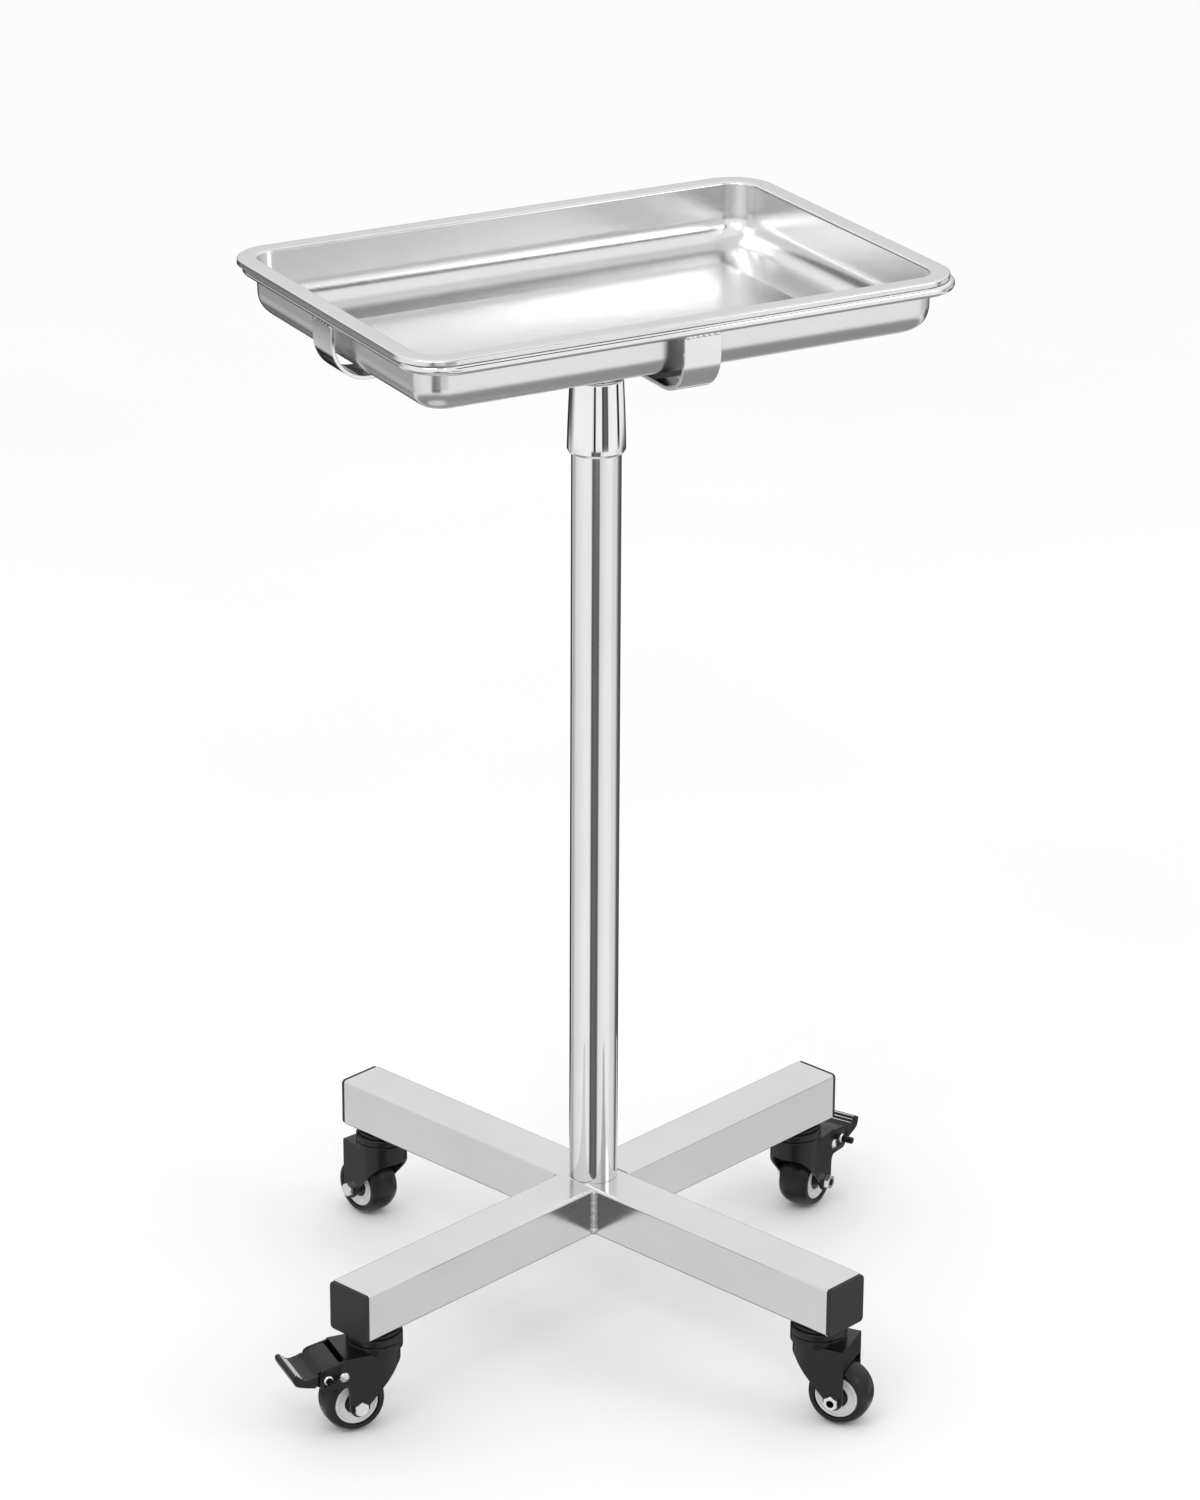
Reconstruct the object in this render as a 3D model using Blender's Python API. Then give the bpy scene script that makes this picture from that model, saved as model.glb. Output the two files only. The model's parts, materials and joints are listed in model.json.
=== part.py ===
"""Instrument stand on four casters: square-tube cross base, telescopic column, lift-off tray.

Frame: origin on the floor under the column axis, +Z up, +X along the tray's long side.
"""
import math

import bmesh
import bpy
from mathutils import Matrix

MM = 0.001
GAP = 0.3 * MM  # clearance between touching pieces
PAST = 5.0 * MM  # how far a cutter runs past the wall it cuts

# heights above the floor
ARM_BOTTOM = 83.5 * MM
ARM_TOP = 123.5 * MM
COLLAR_BOTTOM = 727.5 * MM
COLLAR_TOP = 785.0 * MM
RIM_TOP = 872.9 * MM

# base cross: one long tube with a short tube welded to each side of it
TUBE_SIDE = 40.0 * MM
TUBE_WALL = 1.5 * MM
TUBE_CORNER = 2.5 * MM
LONG_ARM = 262.7 * MM
SHORT_ARM = 267.0 * MM
LONG_ARM_ANGLE = 107.7
SHORT_ARM_ANGLE = 17.7
PLUG_HEAD = 3.5 * MM
PLUG_SPIGOT = 9.0 * MM
PLUG_SPIGOT_CORNER = 1.0 * MM
PLUG_DOME = ((1.2 * MM, 0.0), (0.35 * MM, 0.4 * MM), (0.0, 1.6 * MM))  # depth below the face, inset
WELD_SIDE = 3.2 * MM
WELD_FLUSH = 0.9 * MM  # above and below, where it is ground
WELD_TOE = (3.5 * MM, 0.9 * MM, 0.7 * MM)  # along the tube, beside it and above it
WELD_REACH = 4.0 * MM
STEM_FROM_END = 24.0 * MM

# column and lift tube
COLUMN_RADIUS = 19.05 * MM
COLUMN_WALL = 1.5 * MM
COLUMN_TOP = 742.0 * MM
LIFT_RADIUS = 16.0 * MM
LIFT_WALL = 1.5 * MM
LIFT_BOTTOM = 183.5 * MM
LIFT_TOP = 809.5 * MM
GROOVE = 0.8 * MM
GROOVE_DEPTH = 10.0 * MM  # its middle, below the tube's top
GROOVE_HALF = 3.5 * MM
GROOVE_SIDE = 0.6 * MM
GLIDE_HALF = 14.0 * MM
GUIDE_BOTTOM = 620.0 * MM
FOOT_PLATE = 8.0 * MM
BOLT_RADIUS = 5.0 * MM
BOLT_HOLE = BOLT_RADIUS + 0.5 * MM
BOLT_HEAD = 9.2 * MM
BOLT_HEAD_THICK = 6.4 * MM
WASHER_RADIUS = 11.0 * MM
WASHER_THICK = 2.0 * MM

# the collar: its own profile is measured from its foot or its top
COLLAR_WIDEST = 22.3 * MM
COLLAR_NARROWEST = 20.4 * MM
COLLET_RADIUS = 18.4 * MM
COLLET_TOP_RADIUS = 17.6 * MM
COLLET_HEIGHT = 27.0 * MM
COLLET_TAPER_START = 12.0 * MM
COLLET_SWEEP = 348.0  # the rest is the split

# tray and the ring that carries it
TRAY_HALF = (227.7 * MM, 158.4 * MM)
TRAY_SHIFT = (-3.4 * MM, 1.5 * MM)
TRAY_CORNER = 35.0 * MM
TRAY_WALL = 14.8 * MM  # the wall's outer face, in from the rim
TRAY_FILLET = 21.0 * MM  # outer round between wall and floor
TRAY_FILLET_DEPTH = 25.5 * MM
TRAY_BAND_SLOPE = 9.5  # degrees that the band round the floor slopes down
TRAY_FLOOR_INSET = 58.0 * MM
TRAY_DEPTH = 50.5 * MM
TRAY_INNER_CORNER = 14.0 * MM
SHEET = 1.3 * MM
LIP = 4.2 * MM
LIP_ROUND = 1.6 * MM
RING_HALF = (227.5 * MM, 158.5 * MM)
RING_CORNER = 35.0 * MM
RING_WIDTH = 7.0 * MM
RING_HEIGHT = 7.6 * MM
RING_TOP = RIM_TOP - LIP - GAP
STRAP_WIDTH = 30.5 * MM
STRAP_THICK = 3.0 * MM
STRAP_BEND = 30.0 * MM
STRAP_BOTTOM = 814.4 * MM
LONG_STRAP_BOTTOM = STRAP_BOTTOM + STRAP_THICK + GAP
SHORT_STRAP_INSET = 1.5 * MM  # its end face, in from the ring's outer edge
LONG_STRAP_INSET = 1.0 * MM
SOCKET_RISE = 4.0 * MM  # above the collar
SOCKET_WALL = 19.0 * MM
SOCKET_FLANGE = 32.0 * MM
FLANGE_THICK = 3.9 * MM
CENTRE_BOLT = 4.0 * MM
CENTRE_HOLE = CENTRE_BOLT + GAP
CENTRE_HEAD = 7.5 * MM
CENTRE_HEAD_THICK = 1.0 * MM  # low, because the tray's floor is just above it
CENTRE_NUT_THICK = 6.5 * MM
CENTRE_TAIL = 1.5 * MM
SCREW_RADIUS = 2.5 * MM
SCREW_HEAD = 4.4 * MM
SCREW_HEAD_THICK = 2.7 * MM
SCREW_HEAD_EDGE = 1.9 * MM

# casters, in a frame with the swivel axis at x = 0 and the wheel trailing along +X
WHEEL_RADIUS = 25.0 * MM
WHEEL_HALF_WIDTH = 13.1 * MM
TREAD_DROP = 2.6 * MM  # the crown falls this far to the tread's edges
TREAD_EDGE = 0.6 * MM
TYRE_BEAD = 1.0 * MM
SIDEWALL = 1.2 * MM
HUB_RADIUS = 17.5 * MM
HUB_FACE = 11.5 * MM
AXLE_RADIUS = 3.0 * MM
AXLE_HOLE = AXLE_RADIUS + GAP
AXLE_HEAD = 6.2 * MM
AXLE_HEAD_THICK = 3.8 * MM
AXLE_NUT_THICK = 4.6 * MM
AXLE_TAIL = 6.0 * MM  # the nut and the thread beyond it
TRAIL = 19.5 * MM
YOKE_HALF = 20.0 * MM
TOE_HALF = YOKE_HALF - 0.2 * MM
YOKE_WALL = 2.2 * MM
YOKE_TOP = 68.5 * MM
YOKE_FRONT = 27.5 * MM
YOKE_LOWEST = 10.0 * MM
EAR_BACK = 31.0 * MM  # in front of this the braked yoke is only its two ears
EAR_FRONT = 52.0 * MM
WHEEL_ROOM = (20.0 * MM, 35.0 * MM, 51.0 * MM)  # back, front and top of the plain yoke's open front
CUT_LOW = 5.0 * MM
CUT_HIGH = 80.0 * MM
CUT_FRONT = 60.0 * MM
CUT_HALF = 30.0 * MM
CUP_TOP = 73.2 * MM
RACE_RADIUS = 22.0 * MM
RACE_FLAT = 17.0 * MM
STEM_FOOT = 61.8 * MM
STEM_COLLAR = 8.0 * MM
STEM_NUT = 8.5 * MM
STEM_NUT_THICK = 6.0 * MM
STEM_RISE = 12.0 * MM  # above the tube's lower wall
PIN_RADIUS = 2.5 * MM
PIN_HEAD = 4.0 * MM
PIN_HEAD_THICK = 1.6 * MM
PEDAL_PIN = (45.0 * MM, 54.0 * MM)
SHOE_PIN = (32.0 * MM, 54.0 * MM)
SHOE_HALF = 8.0 * MM
SHOE_BARREL = 4.4 * MM
SHOE_BARREL_HALF = 8.5 * MM

# caster name: distance and angle of its swivel axis, direction that its wheel trails, brake
CASTERS = {
    "left": (SHORT_ARM - STEM_FROM_END, SHORT_ARM_ANGLE + 180, 174.7, True),
    "front": (LONG_ARM - STEM_FROM_END, LONG_ARM_ANGLE + 180, -52.3, False),
    "right": (SHORT_ARM - STEM_FROM_END, SHORT_ARM_ANGLE, 29.7, True),
    "back": (LONG_ARM - STEM_FROM_END, LONG_ARM_ANGLE, 102.7, False),
}

FINISHES = {
    "brushed_steel": ((0.70, 0.70, 0.70), 0.34, 1.0),
    "polished_steel": ((0.82, 0.82, 0.83), 0.10, 1.0),
    "chrome": ((0.90, 0.90, 0.91), 0.05, 1.0),
    "zinc": ((0.78, 0.78, 0.77), 0.30, 1.0),
    "black_enamel": ((0.015, 0.015, 0.017), 0.22, 0.0),
    "black_plastic": ((0.030, 0.030, 0.032), 0.55, 0.0),
    "tyre_black": ((0.020, 0.020, 0.022), 0.48, 0.0),
    "hub_grey": ((0.72, 0.72, 0.73), 0.35, 0.0),
    "guide_white": ((0.85, 0.85, 0.82), 0.45, 0.0),
}


def clear_scene():
    for old in list(bpy.data.objects):
        bpy.data.objects.remove(old, do_unlink=True)


def finish(name):
    """The material of this name, made the first time it is asked for."""
    made = bpy.data.materials.get(name)
    if made:
        return made
    colour, roughness, metallic = FINISHES[name]
    made = bpy.data.materials.new(name)
    made.use_nodes = True
    shader = made.node_tree.nodes["Principled BSDF"]
    shader.inputs["Base Color"].default_value = (*colour, 1.0)
    shader.inputs["Roughness"].default_value = roughness
    shader.inputs["Metallic"].default_value = metallic
    return made


def solid(name, bm, material, place=Matrix.Identity(4), sharp=35):
    """Makes the object of a bmesh, shaded smooth except at edges sharper than the angle."""
    bmesh.ops.recalc_face_normals(bm, faces=bm.faces)
    mesh = bpy.data.meshes.new(name)
    bm.to_mesh(mesh)
    bm.free()
    mesh.shade_smooth()
    mesh.set_sharp_from_angle(angle=math.radians(sharp))
    obj = bpy.data.objects.new(name, mesh)
    bpy.context.collection.objects.link(obj)
    obj.matrix_world = place
    if material:
        mesh.materials.append(finish(material))
    return obj


def cutter(name, bm, place=Matrix.Identity(4)):
    obj = solid(name, bm, None, place)
    obj.hide_render = True
    obj.display_type = "WIRE"
    return obj


def boolean(obj, other, operation="DIFFERENCE"):
    modifier = obj.modifiers.new(operation.lower(), "BOOLEAN")
    modifier.operation = operation
    modifier.object = other
    modifier.solver = "EXACT"


def arc(centre, radius, start, end, steps):
    """Points on an arc, in degrees, both ends included."""
    angles = (math.radians(start + (end - start) * i / steps) for i in range(steps + 1))
    return [(centre[0] + radius * math.cos(a), centre[1] + radius * math.sin(a)) for a in angles]


def turned(profile, segments=16, sweep=360.0):
    """A turned solid about Z from a closed profile of (radius, height) points.

    Points at radius 0 become single poles. A sweep below 360 leaves a split with flat ends.
    """
    bm = bmesh.new()
    whole = sweep >= 360.0
    count = segments if whole else segments + 1
    columns = []
    for radius, height in profile:
        if radius < 1e-9:
            columns.append([bm.verts.new((0.0, 0.0, height))] * count)
            continue
        column = []
        for i in range(count):
            angle = math.radians(sweep * i / segments)
            column.append(bm.verts.new((radius * math.cos(angle), radius * math.sin(angle), height)))
        columns.append(column)
    for a, b in zip(columns, columns[1:] + columns[:1]):
        for i in range(segments):
            j = (i + 1) % count
            corners = list(dict.fromkeys((a[i], a[j], b[j], b[i])))
            if len(corners) > 2:
                bm.faces.new(corners)
    if not whole:
        bm.faces.new([column[0] for column in columns])
        bm.faces.new([column[-1] for column in columns])
    return bm


def rod(radius, bottom, top, segments=12):
    return turned([(0, bottom), (radius, bottom), (radius, top), (0, top)], segments)


def tube(outer, inner, bottom, top, segments=24):
    return turned([(inner, bottom), (outer, bottom), (outer, top), (inner, top)], segments)


def prism(outline, low, high):
    """An outline in XY carried from one height to another."""
    bm = bmesh.new()
    ends = [[bm.verts.new((x, y, z)) for x, y in outline] for z in (low, high)]
    for end in ends:
        bm.faces.new(end)
    for i in range(len(outline)):
        j = (i + 1) % len(outline)
        bm.faces.new((ends[0][i], ends[0][j], ends[1][j], ends[1][i]))
    return bm


def side_prism(outline, half_width):
    """A side outline of (x, z) points carried across Y, the same to both sides."""
    bm = prism(outline, -half_width, half_width)
    bmesh.ops.rotate(bm, verts=bm.verts, matrix=Matrix.Rotation(math.radians(90), 3, "X"))
    return bm


def box(low, high):
    (x0, y0, z0), (x1, y1, z1) = low, high
    return prism([(x0, y0), (x1, y0), (x1, y1), (x0, y1)], z0, z1)


def hexagon(radius, bottom, top, hole=0.0):
    """A hexagon prism about Z, with a round hole where one is given."""
    bm = bmesh.new()
    rows = []
    steps = 12
    for height in (bottom, top):
        outer = []
        for i in range(steps):
            angle = 2 * math.pi * i / steps
            turn = (angle % (math.pi / 3)) - math.pi / 6
            reach = radius * math.cos(math.pi / 6) / math.cos(turn)
            outer.append(bm.verts.new((reach * math.cos(angle), reach * math.sin(angle), height)))
        rows.append(outer)
    inner = []
    for height in (bottom, top):
        if hole:
            ring = [(hole * math.cos(2 * math.pi * i / steps), hole * math.sin(2 * math.pi * i / steps))
                    for i in range(steps)]
            inner.append([bm.verts.new((x, y, height)) for x, y in ring])
    for i in range(steps):
        j = (i + 1) % steps
        bm.faces.new((rows[0][i], rows[0][j], rows[1][j], rows[1][i]))
        if hole:
            bm.faces.new((inner[0][i], inner[0][j], inner[1][j], inner[1][i]))
            bm.faces.new((rows[0][i], rows[0][j], inner[0][j], inner[0][i]))
            bm.faces.new((rows[1][i], rows[1][j], inner[1][j], inner[1][i]))
    if not hole:
        bm.faces.new(rows[0])
        bm.faces.new(rows[1])
    return bm


def rounded_rectangle(half_x, half_y, radius, steps=4):
    """Points round a rectangle with round corners, counted the same for every size."""
    points = []
    for sx, sy, start in ((1, 1, 0), (-1, 1, 90), (-1, -1, 180), (1, -1, 270)):
        centre = (sx * (half_x - radius), sy * (half_y - radius))
        points += arc(centre, radius, start, start + 90, steps)
    return points


def loft(rows, closed=False, caps=True):
    """Bridges rows of 3-D points, each a closed loop with the same number of points."""
    bm = bmesh.new()
    loops = [[bm.verts.new(point) for point in row] for row in rows]
    pairs = list(zip(loops, loops[1:]))
    if closed:
        pairs.append((loops[-1], loops[0]))
    count = len(loops[0])
    for a, b in pairs:
        for i in range(count):
            j = (i + 1) % count
            bm.faces.new((a[i], a[j], b[j], b[i]))
    if caps and not closed:
        bm.faces.new(loops[0])
        bm.faces.new(loops[-1])
    return bm


def at(x=0.0, y=0.0, z=0.0, turn=0.0):
    return Matrix.Translation((x, y, z)) @ Matrix.Rotation(math.radians(turn), 4, "Z")


def along_y(place):
    """Turns a solid about Z into one about Y, with its top towards +Y."""
    return place @ Matrix.Rotation(math.radians(-90), 4, "X")


# ---- base cross


def square_tube(name, start, end, angle, holes):
    """A hollow square tube along its local X, with stem holes through its lower wall."""
    inner = TUBE_SIDE / 2 - TUBE_WALL
    middle = (ARM_BOTTOM + ARM_TOP) / 2
    outline = rounded_rectangle(TUBE_SIDE / 2, TUBE_SIDE / 2, TUBE_CORNER, 3)
    inside = rounded_rectangle(inner, inner, TUBE_CORNER - TUBE_WALL, 3)
    rows = [[(x, y, middle + z) for y, z in loop]
            for x, loop in ((start, outline), (end, outline), (end, inside), (start, inside))]
    body = solid(name, loft(rows, closed=True), "brushed_steel", at(turn=angle))
    for x, high in holes:
        hole = cutter(name + "_hole", rod(BOLT_HOLE, ARM_BOTTOM - PAST, high),
                      at(turn=angle) @ at(x=x))
        boolean(body, hole)
    return body


def end_plug(name, end, angle):
    """A square plastic plug: a domed head outside the tube and a spigot inside it."""
    middle = (ARM_BOTTOM + ARM_TOP) / 2
    half = TUBE_SIDE / 2
    fit = half - TUBE_WALL - GAP
    sections = [
        (end - PLUG_SPIGOT, fit, PLUG_SPIGOT_CORNER),
        (end + GAP, fit, PLUG_SPIGOT_CORNER),
        (end + GAP, half, TUBE_CORNER),
    ]
    sections += [(end + PLUG_HEAD - depth, half - inset, TUBE_CORNER) for depth, inset in PLUG_DOME]
    rows = []
    for x, reach, radius in sections:
        rows.append([(x, y, middle + z) for y, z in rounded_rectangle(reach, reach, radius, 3)])
    solid(name, loft(rows), "black_plastic", at(turn=angle))


def tube_weld(name, angle):
    """The fillet weld round the foot of a short tube, ground nearly flush above and below."""
    middle = (ARM_BOTTOM + ARM_TOP) / 2
    half = TUBE_SIDE / 2
    along, beside, above = WELD_TOE
    rows = []
    for x, side, top in (
        (half + GAP, half + GAP, half + GAP),
        (half + GAP, half + WELD_SIDE, half + WELD_FLUSH),
        (half + along, half + beside, half + above),
        (half + WELD_REACH, half + GAP, half + GAP),
    ):
        rows.append([(x, y, middle + z) for y, z in rounded_rectangle(side, top, TUBE_CORNER, 3)])
    solid(name, loft(rows, closed=True), "brushed_steel", at(turn=angle))


def make_base():
    stem = LONG_ARM - STEM_FROM_END
    wall = ARM_BOTTOM + PAST
    square_tube("base_long_tube", -LONG_ARM, LONG_ARM, LONG_ARM_ANGLE,
                ((-stem, wall), (stem, wall), (0.0, ARM_TOP + PAST)))
    foot = TUBE_SIDE / 2 + GAP
    stem = SHORT_ARM - STEM_FROM_END
    for side, turn in (("right", 0), ("left", 180)):
        angle = SHORT_ARM_ANGLE + turn
        square_tube(f"base_{side}_tube", foot, SHORT_ARM, angle, ((stem, wall),))
        tube_weld(f"base_{side}_weld", angle)
        end_plug(f"end_plug_{side}", SHORT_ARM, angle)
    for side, turn in (("back", 0), ("front", 180)):
        end_plug(f"end_plug_{side}", LONG_ARM, LONG_ARM_ANGLE + turn)


# ---- column, lift tube and collar


def make_column():
    inner = COLUMN_RADIUS - COLUMN_WALL
    foot = ARM_TOP + GAP
    solid("column_tube", tube(COLUMN_RADIUS, inner, foot, COLUMN_TOP, 32), "polished_steel")
    plate_top = foot + FOOT_PLATE
    solid("column_foot_plate", tube(inner - GAP, BOLT_RADIUS + GAP, foot, plate_top), "zinc")
    washer_top = ARM_BOTTOM - GAP
    washer_bottom = washer_top - WASHER_THICK
    washer = tube(WASHER_RADIUS, BOLT_RADIUS + GAP, washer_bottom, washer_top)
    solid("column_bolt_washer", washer, "zinc")
    head_top = washer_bottom - GAP
    bolt = solid("column_bolt", hexagon(BOLT_HEAD, head_top - BOLT_HEAD_THICK, head_top), "zinc")
    shank = rod(BOLT_RADIUS, head_top - BOLT_HEAD_THICK / 2, plate_top + FOOT_PLATE / 2)
    shank = cutter("column_bolt_shank", shank)
    boolean(bolt, shank, "UNION")
    solid("column_guide_bush", tube(inner - GAP, LIFT_RADIUS + GAP, GUIDE_BOTTOM, COLUMN_TOP),
          "guide_white")


def make_lift_tube():
    inner = LIFT_RADIUS - LIFT_WALL
    groove = LIFT_RADIUS - GROOVE
    middle = LIFT_TOP - GROOVE_DEPTH
    flat = GROOVE_HALF - GROOVE_SIDE
    profile = [
        (inner, LIFT_BOTTOM),
        (LIFT_RADIUS, LIFT_BOTTOM),
        (LIFT_RADIUS, middle - GROOVE_HALF),
        (groove, middle - flat),
        (groove, middle + flat),
        (LIFT_RADIUS, middle + GROOVE_HALF),
        (LIFT_RADIUS, LIFT_TOP),
        (inner, LIFT_TOP),
    ]
    solid("lift_tube", turned(profile, 24), "polished_steel")
    wide = COLUMN_RADIUS - COLUMN_WALL - GAP
    shoulder = LIFT_BOTTOM - GAP
    low, high = shoulder - GLIDE_HALF, shoulder + GLIDE_HALF
    chamfer = 1.5 * MM
    glide = [
        (0, low),
        (wide - chamfer, low),
        (wide, low + chamfer),
        (wide, shoulder),
        (inner - GAP, shoulder),
        (inner - GAP, high),
        (0, high),
    ]
    solid("lift_tube_glide", turned(glide, 24), "guide_white")


def make_collar():
    """The split collet on the column's top, and the tapered collar that squeezes it when turned."""
    low = COLUMN_TOP + GAP
    high = low + COLLET_HEIGHT
    collet = [
        (LIFT_RADIUS + GAP, low),
        (COLLET_RADIUS, low),
        (COLLET_RADIUS, low + COLLET_TAPER_START),
        (COLLET_TOP_RADIUS, high),
        (LIFT_RADIUS + GAP, high),
    ]
    solid("column_collet", turned(collet, 24, COLLET_SWEEP), "guide_white")
    skirt = COLUMN_RADIUS + GAP + 0.05 * MM
    neck = LIFT_RADIUS + GAP + 0.2 * MM
    clear = GAP + 0.05 * MM
    outside = [
        (skirt, COLLAR_BOTTOM),
        (COLLAR_WIDEST - 1.4 * MM, COLLAR_BOTTOM),
        (COLLAR_WIDEST - 0.1 * MM, COLLAR_BOTTOM + 2.2 * MM),
        (COLLAR_WIDEST, COLLAR_BOTTOM + 4.0 * MM),
        (COLLAR_WIDEST - 0.4 * MM, COLLAR_BOTTOM + 20 * MM),
        (COLLAR_NARROWEST + 0.5 * MM, COLLAR_BOTTOM + 45 * MM),
        (COLLAR_NARROWEST, COLLAR_TOP - 2.0 * MM),
        (COLLAR_NARROWEST - 1.0 * MM, COLLAR_TOP),
    ]
    inside = [
        (neck, COLLAR_TOP),
        (neck, high + 2.2 * MM),
        (COLLET_TOP_RADIUS + 0.4 * MM, high + 1.2 * MM),
        (COLLET_RADIUS + clear, low + COLLET_TAPER_START + GAP),
        (skirt, COLUMN_TOP + 2 * GAP),
    ]
    solid("lock_collar", turned(outside + inside, 24), "chrome")


# ---- frame that carries the tray


def strap(name, reach, bottom, turn):
    """A flat bar under the tray whose two ends bend up to the underside of the ring."""
    top = RING_TOP - RING_HEIGHT - GAP
    inner = STRAP_BEND - STRAP_THICK
    centre_x, centre_z = reach - STRAP_BEND, bottom + STRAP_BEND
    outside = [(reach, top)] + arc((centre_x, centre_z), STRAP_BEND, 0, -90, 7)
    inside = arc((centre_x, centre_z), inner, -90, 0, 7) + [(reach - STRAP_THICK, top)]
    half = outside + [(-x, z) for x, z in reversed(outside)]
    half += [(-x, z) for x, z in reversed(inside)] + inside
    body = solid(name, side_prism(half, STRAP_WIDTH / 2), "polished_steel", at(turn=turn))
    boolean(body, cutter(name + "_hole", rod(CENTRE_HOLE, bottom - STRAP_THICK, bottom + 2 * STRAP_THICK)))


def make_ring():
    """The polished bar bent to the tray's outline, with an oval section."""
    rows = []
    sides = 8
    for i in range(sides):
        angle = 2 * math.pi * i / sides
        inset = RING_WIDTH / 2 * (1 - math.cos(angle))
        height = RING_TOP - RING_HEIGHT / 2 + RING_HEIGHT / 2 * math.sin(angle)
        loop = rounded_rectangle(RING_HALF[0] - inset, RING_HALF[1] - inset, RING_CORNER - inset)
        rows.append([(x, y, height) for x, y in loop])
    solid("tray_support_ring", loft(rows, closed=True), "polished_steel", sharp=50)


def make_socket():
    """The flanged socket on the lift tube's top, and the screw whose tip runs in the tube's groove."""
    flange_top = STRAP_BOTTOM - GAP
    flange_bottom = flange_top - FLANGE_THICK
    bottom = COLLAR_TOP + SOCKET_RISE
    chamfer = 1.0 * MM
    profile = [
        (CENTRE_HOLE, flange_bottom),
        (LIFT_RADIUS + GAP, flange_bottom),
        (LIFT_RADIUS + GAP, bottom),
        (SOCKET_WALL - chamfer, bottom),
        (SOCKET_WALL, bottom + chamfer),
        (SOCKET_WALL, flange_bottom),
        (SOCKET_FLANGE - chamfer, flange_bottom),
        (SOCKET_FLANGE, flange_bottom + chamfer),
        (SOCKET_FLANGE, flange_top),
        (CENTRE_HOLE, flange_top),
    ]
    socket = solid("frame_socket", turned(profile, 24), "polished_steel")
    screw_place = at(z=LIFT_TOP - GROOVE_DEPTH) @ Matrix.Rotation(math.radians(90), 4, "Y")
    hole = rod(SCREW_RADIUS + GAP, LIFT_RADIUS - PAST, SOCKET_WALL + PAST)
    boolean(socket, cutter("screw_hole", hole, screw_place))
    tip = LIFT_RADIUS - GROOVE / 2 - 0.1 * MM
    head = SOCKET_WALL + GAP
    screw = [
        (0, tip),
        (SCREW_RADIUS, tip),
        (SCREW_RADIUS, head),
        (SCREW_HEAD, head),
        (SCREW_HEAD, head + SCREW_HEAD_EDGE),
        (SCREW_HEAD - 0.6 * MM, head + SCREW_HEAD_THICK),
        (0, head + SCREW_HEAD_THICK),
    ]
    solid("frame_socket_screw", turned(screw, 12), "zinc", screw_place)
    return flange_bottom


def make_tray_frame():
    flange_bottom = make_socket()
    strap("strap_short", RING_HALF[1] - SHORT_STRAP_INSET, STRAP_BOTTOM, 90)
    strap("strap_long", RING_HALF[0] - LONG_STRAP_INSET, LONG_STRAP_BOTTOM, 0)
    head = LONG_STRAP_BOTTOM + STRAP_THICK + GAP
    nut_top = flange_bottom - GAP
    nut_bottom = nut_top - CENTRE_NUT_THICK
    bolt = [
        (0, nut_bottom - CENTRE_TAIL),
        (CENTRE_BOLT, nut_bottom - CENTRE_TAIL),
        (CENTRE_BOLT, head),
        (CENTRE_HEAD, head),
        (CENTRE_HEAD - 0.8 * MM, head + CENTRE_HEAD_THICK),
        (0, head + CENTRE_HEAD_THICK),
    ]
    solid("frame_centre_bolt", turned(bolt, 16), "zinc")
    solid("frame_centre_nut", hexagon(CENTRE_HEAD, nut_bottom, nut_top, CENTRE_HOLE), "zinc")
    make_ring()


def make_tray():
    """A pressed tray: flat flange with a rolled-down edge, upright walls with a round at their foot,
    and a band round the flat floor that slopes down to it.
    """
    inside = TRAY_WALL + SHEET
    centre = (TRAY_WALL + TRAY_FILLET, -TRAY_FILLET_DEPTH)
    band_start = 270 - TRAY_BAND_SLOPE
    section = [(TRAY_FLOOR_INSET, SHEET - TRAY_DEPTH)]
    section += arc(centre, TRAY_FILLET - SHEET, band_start, 180, 4)
    mouth = (inside - 2.2 * MM, -2.2 * MM)
    section += arc(mouth, 2.2 * MM, 0, 90, 2)
    section += [(LIP_ROUND, 0.0), (0.5 * MM, -0.5 * MM), (0.0, -LIP_ROUND), (0.0, 0.4 * MM - LIP)]
    section += [(0.5 * MM, -LIP), (SHEET, -LIP), (SHEET, -SHEET)]
    section += [(TRAY_WALL - 1.5 * MM, -SHEET), (TRAY_WALL, -2.6 * MM)]
    section += arc(centre, TRAY_FILLET, 180, band_start, 5)
    section += [(TRAY_FLOOR_INSET, -TRAY_DEPTH)]
    rows = []
    for inset, height in section:
        corner = max(TRAY_CORNER - inset, TRAY_INNER_CORNER)
        loop = rounded_rectangle(TRAY_HALF[0] - inset, TRAY_HALF[1] - inset, corner)
        rows.append([(x, y, RIM_TOP + height) for x, y in loop])
    solid("tray", loft(rows), "brushed_steel", at(TRAY_SHIFT[0], TRAY_SHIFT[1]), sharp=50)


# ---- casters


def d_outline(half, front):
    """A round back about the swivel axis and straight sides forward to the front."""
    return arc((0, 0), half, 90, 270, 8) + [(front, -half), (front, half)]


def yoke_side(braked):
    """The side outline of the yoke: high at the back, down to the axle, up again at the front."""
    outline = [(-24 * MM, CUT_HIGH), (-24 * MM, 57 * MM), (-15 * MM, 55 * MM)]
    outline += arc((TRAIL, WHEEL_RADIUS), 8.0 * MM, 170, 360, 6)
    if braked:
        outline += [(28.5 * MM, 43 * MM), (31 * MM, 45.5 * MM), (48 * MM, 44.5 * MM),
                    (51.5 * MM, 47 * MM), (EAR_FRONT, 60 * MM), (48 * MM, 64 * MM),
                    (33 * MM, 67 * MM), (EAR_BACK, YOKE_TOP), (EAR_BACK, CUT_HIGH)]
    else:
        outline += [(YOKE_FRONT, CUT_HIGH)]
    return outline


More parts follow.
